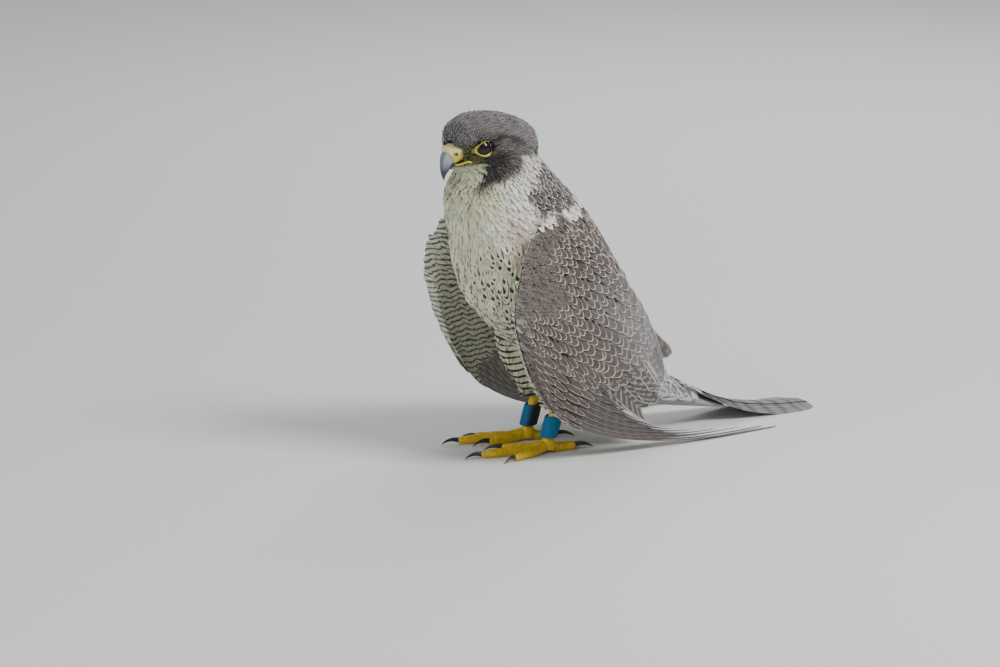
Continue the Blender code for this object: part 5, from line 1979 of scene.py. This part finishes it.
def make_skin():
    """One skin under all the feathers, moved in by the coat's depth, with the wings' inner sheets."""
    body = melted("body_core", [node_shell(name, 0.0005) for name in FLESH], BODY_VOXEL, 6, COAT_DEPTH * CM)
    shells = [(drawn_back(mesh_points(body)), [tuple(face.vertices) for face in body.data.polygons])]
    bpy.data.objects.remove(body)
    shells += [wing_sheet(WING_LEFT, 1), wing_sheet(WING_RIGHT, -1), tail_root()]
    points, faces = join_shells(shells)
    core = turned_out(make_object("feathered_skin", world(points), faces, MATERIALS["skin"]))
    add_modifier(core, "REMESH", mode="VOXEL", voxel_size=BODY_VOXEL)
    add_modifier(core, "SMOOTH", iterations=2)
    settled(core)
    core.data.shade_smooth()
    colours = skin_colours(mesh_points(core), vertex_values(core.data, "normal"))
    colour_attribute(core.data, "base", colours * 0.8)
    finish_piece(core, FLESH + ARMS)


def design_shells(names):
    """Points in design lengths and faces of CAD nodes."""
    points, faces = join_shells([node_shell(name) for name in names])
    return points / CM + ORIGIN, faces


# The model

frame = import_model()

MATERIALS = {
    "feather": feather_material("wing_feather", barbs=70.0, sheen=0.12),
    "soft_feather": feather_material("soft_feather", barbs=60.0, sheen=0.25),
    "spotted_feather": feather_material("spotted_feather", barbs=110.0, sheen=0.10, ovals=True),
    "skin": skin_material(),
    "cere": bare_material("waxy_cere", roughness=0.36, specular=0.5, coat=0.15, scale=260.0, bump=0.12),
    "horn": bare_material("bill_horn", roughness=0.30, specular=0.5, coat=0.25, scale=180.0, bump=0.08),
    "eye": bare_material("eye_gloss", roughness=0.10, specular=0.22, coat=0.30, scale=500.0, bump=0.0),
    "lid": bare_material("eye_ring_skin", roughness=0.42, specular=0.5, coat=0.1, scale=900.0, bump=0.35,
                         colour=LID_YELLOW, spread=0.15),
    "eye_ring": bare_material("eye_ring_tinted_skin", roughness=0.42, specular=0.5, coat=0.1, scale=900.0,
                              bump=0.35),
    "foot": bare_material("scaled_foot_skin", roughness=0.48, specular=0.45, coat=0.05, scale=420.0,
                          bump=0.5, colour=FOOT_YELLOW, spread=0.22),
    "claw": bare_material("claw_horn", roughness=0.30, specular=0.55, coat=0.2, scale=300.0, bump=0.1,
                          colour=CLAW_BLACK, spread=0.3),
    "leather": bare_material("anklet_leather", roughness=0.62, specular=0.35, coat=0.0, scale=700.0,
                             bump=0.5),
}

guide_shells = [node_shell(name, 0.0004) for name in FLESH + ARMS + ("tail",)]
guide_object = melted("coat_guide", guide_shells, GUIDE_VOXEL, 3)
guide_points = mesh_points(guide_object) - vertex_values(guide_object.data, "normal") * GUIDE_DEPTH
guide_faces = [tuple(face.vertices) for face in guide_object.data.polygons]
bpy.data.objects.remove(guide_object)
GUIDE = Guide(guide_points, guide_faces)

make_skin()
make_cere()
make_bill()
for word, side in (("left", 1), ("right", -1)):
    make_eyeball(word, side)
    make_eyelid(word, side)
make_feet()
make_head_coat(guide_points, guide_faces)
make_body_coat(guide_points, guide_faces)
for word, rows, side in (("left", WING_LEFT, 1), ("right", WING_RIGHT, -1)):
    make_wing_coat(word, rows, side)
    make_secondaries(word, rows, side)
    make_primaries(word, rows, side)
make_tail()

# Floor, light and camera


def make_stage():
    """A plain pale floor in soft, even light."""
    half = FLOOR_HALF
    mesh = bpy.data.meshes.new("floor")
    corners = [(-half, -half, 0), (half, -half, 0), (half, half, 0), (-half, half, 0)]
    mesh.from_pydata(corners, [], [(0, 1, 2, 3)])
    floor = bpy.data.objects.new("floor", mesh)
    bpy.context.scene.collection.objects.link(floor)
    n = Nodes("pale_floor")
    n.feed(n.shader.inputs["Base Color"], FLOOR_PALE)
    n.feed(n.shader.inputs["Roughness"], 0.9)
    mesh.materials.append(n.mat)
    surroundings = bpy.data.worlds.new("soft light")
    bpy.context.scene.world = surroundings
    surroundings.use_nodes = True
    background = surroundings.node_tree.nodes["Background"]
    background.inputs["Color"].default_value = (*AMBIENT, 1.0)
    background.inputs["Strength"].default_value = AMBIENT_STRENGTH


def facing(direction):
    """The rotation of a lamp or a camera that looks along the direction."""
    return direction.to_track_quat("-Z", "Y").to_euler()


def add_light(name, place, size, power, colour):
    """A square soft light that looks at the bird."""
    light = bpy.data.lights.new(name, "AREA")
    light.size = size
    light.energy = power
    light.color = colour
    obj = bpy.data.objects.new(name, light)
    obj.location = place
    obj.rotation_euler = facing(Vector(LIGHT_TARGET) - Vector(place))
    bpy.context.scene.collection.objects.link(obj)


def make_camera():
    """A long lens at the photograph's viewing angle, with its framing."""
    camera = bpy.data.cameras.new("camera")
    camera.sensor_width = SENSOR_WIDTH
    camera.lens = SENSOR_WIDTH * CAMERA_DISTANCE / PHOTO_WIDTH_METRES
    obj = bpy.data.objects.new("camera", camera)
    direction = Vector((
        math.sin(CAMERA_AZIMUTH) * math.cos(CAMERA_ELEVATION),
        -math.cos(CAMERA_AZIMUTH) * math.cos(CAMERA_ELEVATION),
        math.sin(CAMERA_ELEVATION),
    ))
    obj.location = Vector(CAMERA_TARGET) + direction * CAMERA_DISTANCE
    obj.rotation_euler = facing(-direction)
    bpy.context.scene.collection.objects.link(obj)
    bpy.context.scene.camera = obj


make_stage()
add_light("key", (1.3, 0.5, 1.7), size=0.8, power=42.0, colour=(1.0, 0.97, 0.92))
add_light("fill", (0.3, -2.0, 0.9), size=1.6, power=16.0, colour=(0.95, 1.0, 0.92))
add_light("rim", (-1.2, 1.2, 1.3), size=1.0, power=18.0, colour=(0.95, 0.97, 1.0))
make_camera()
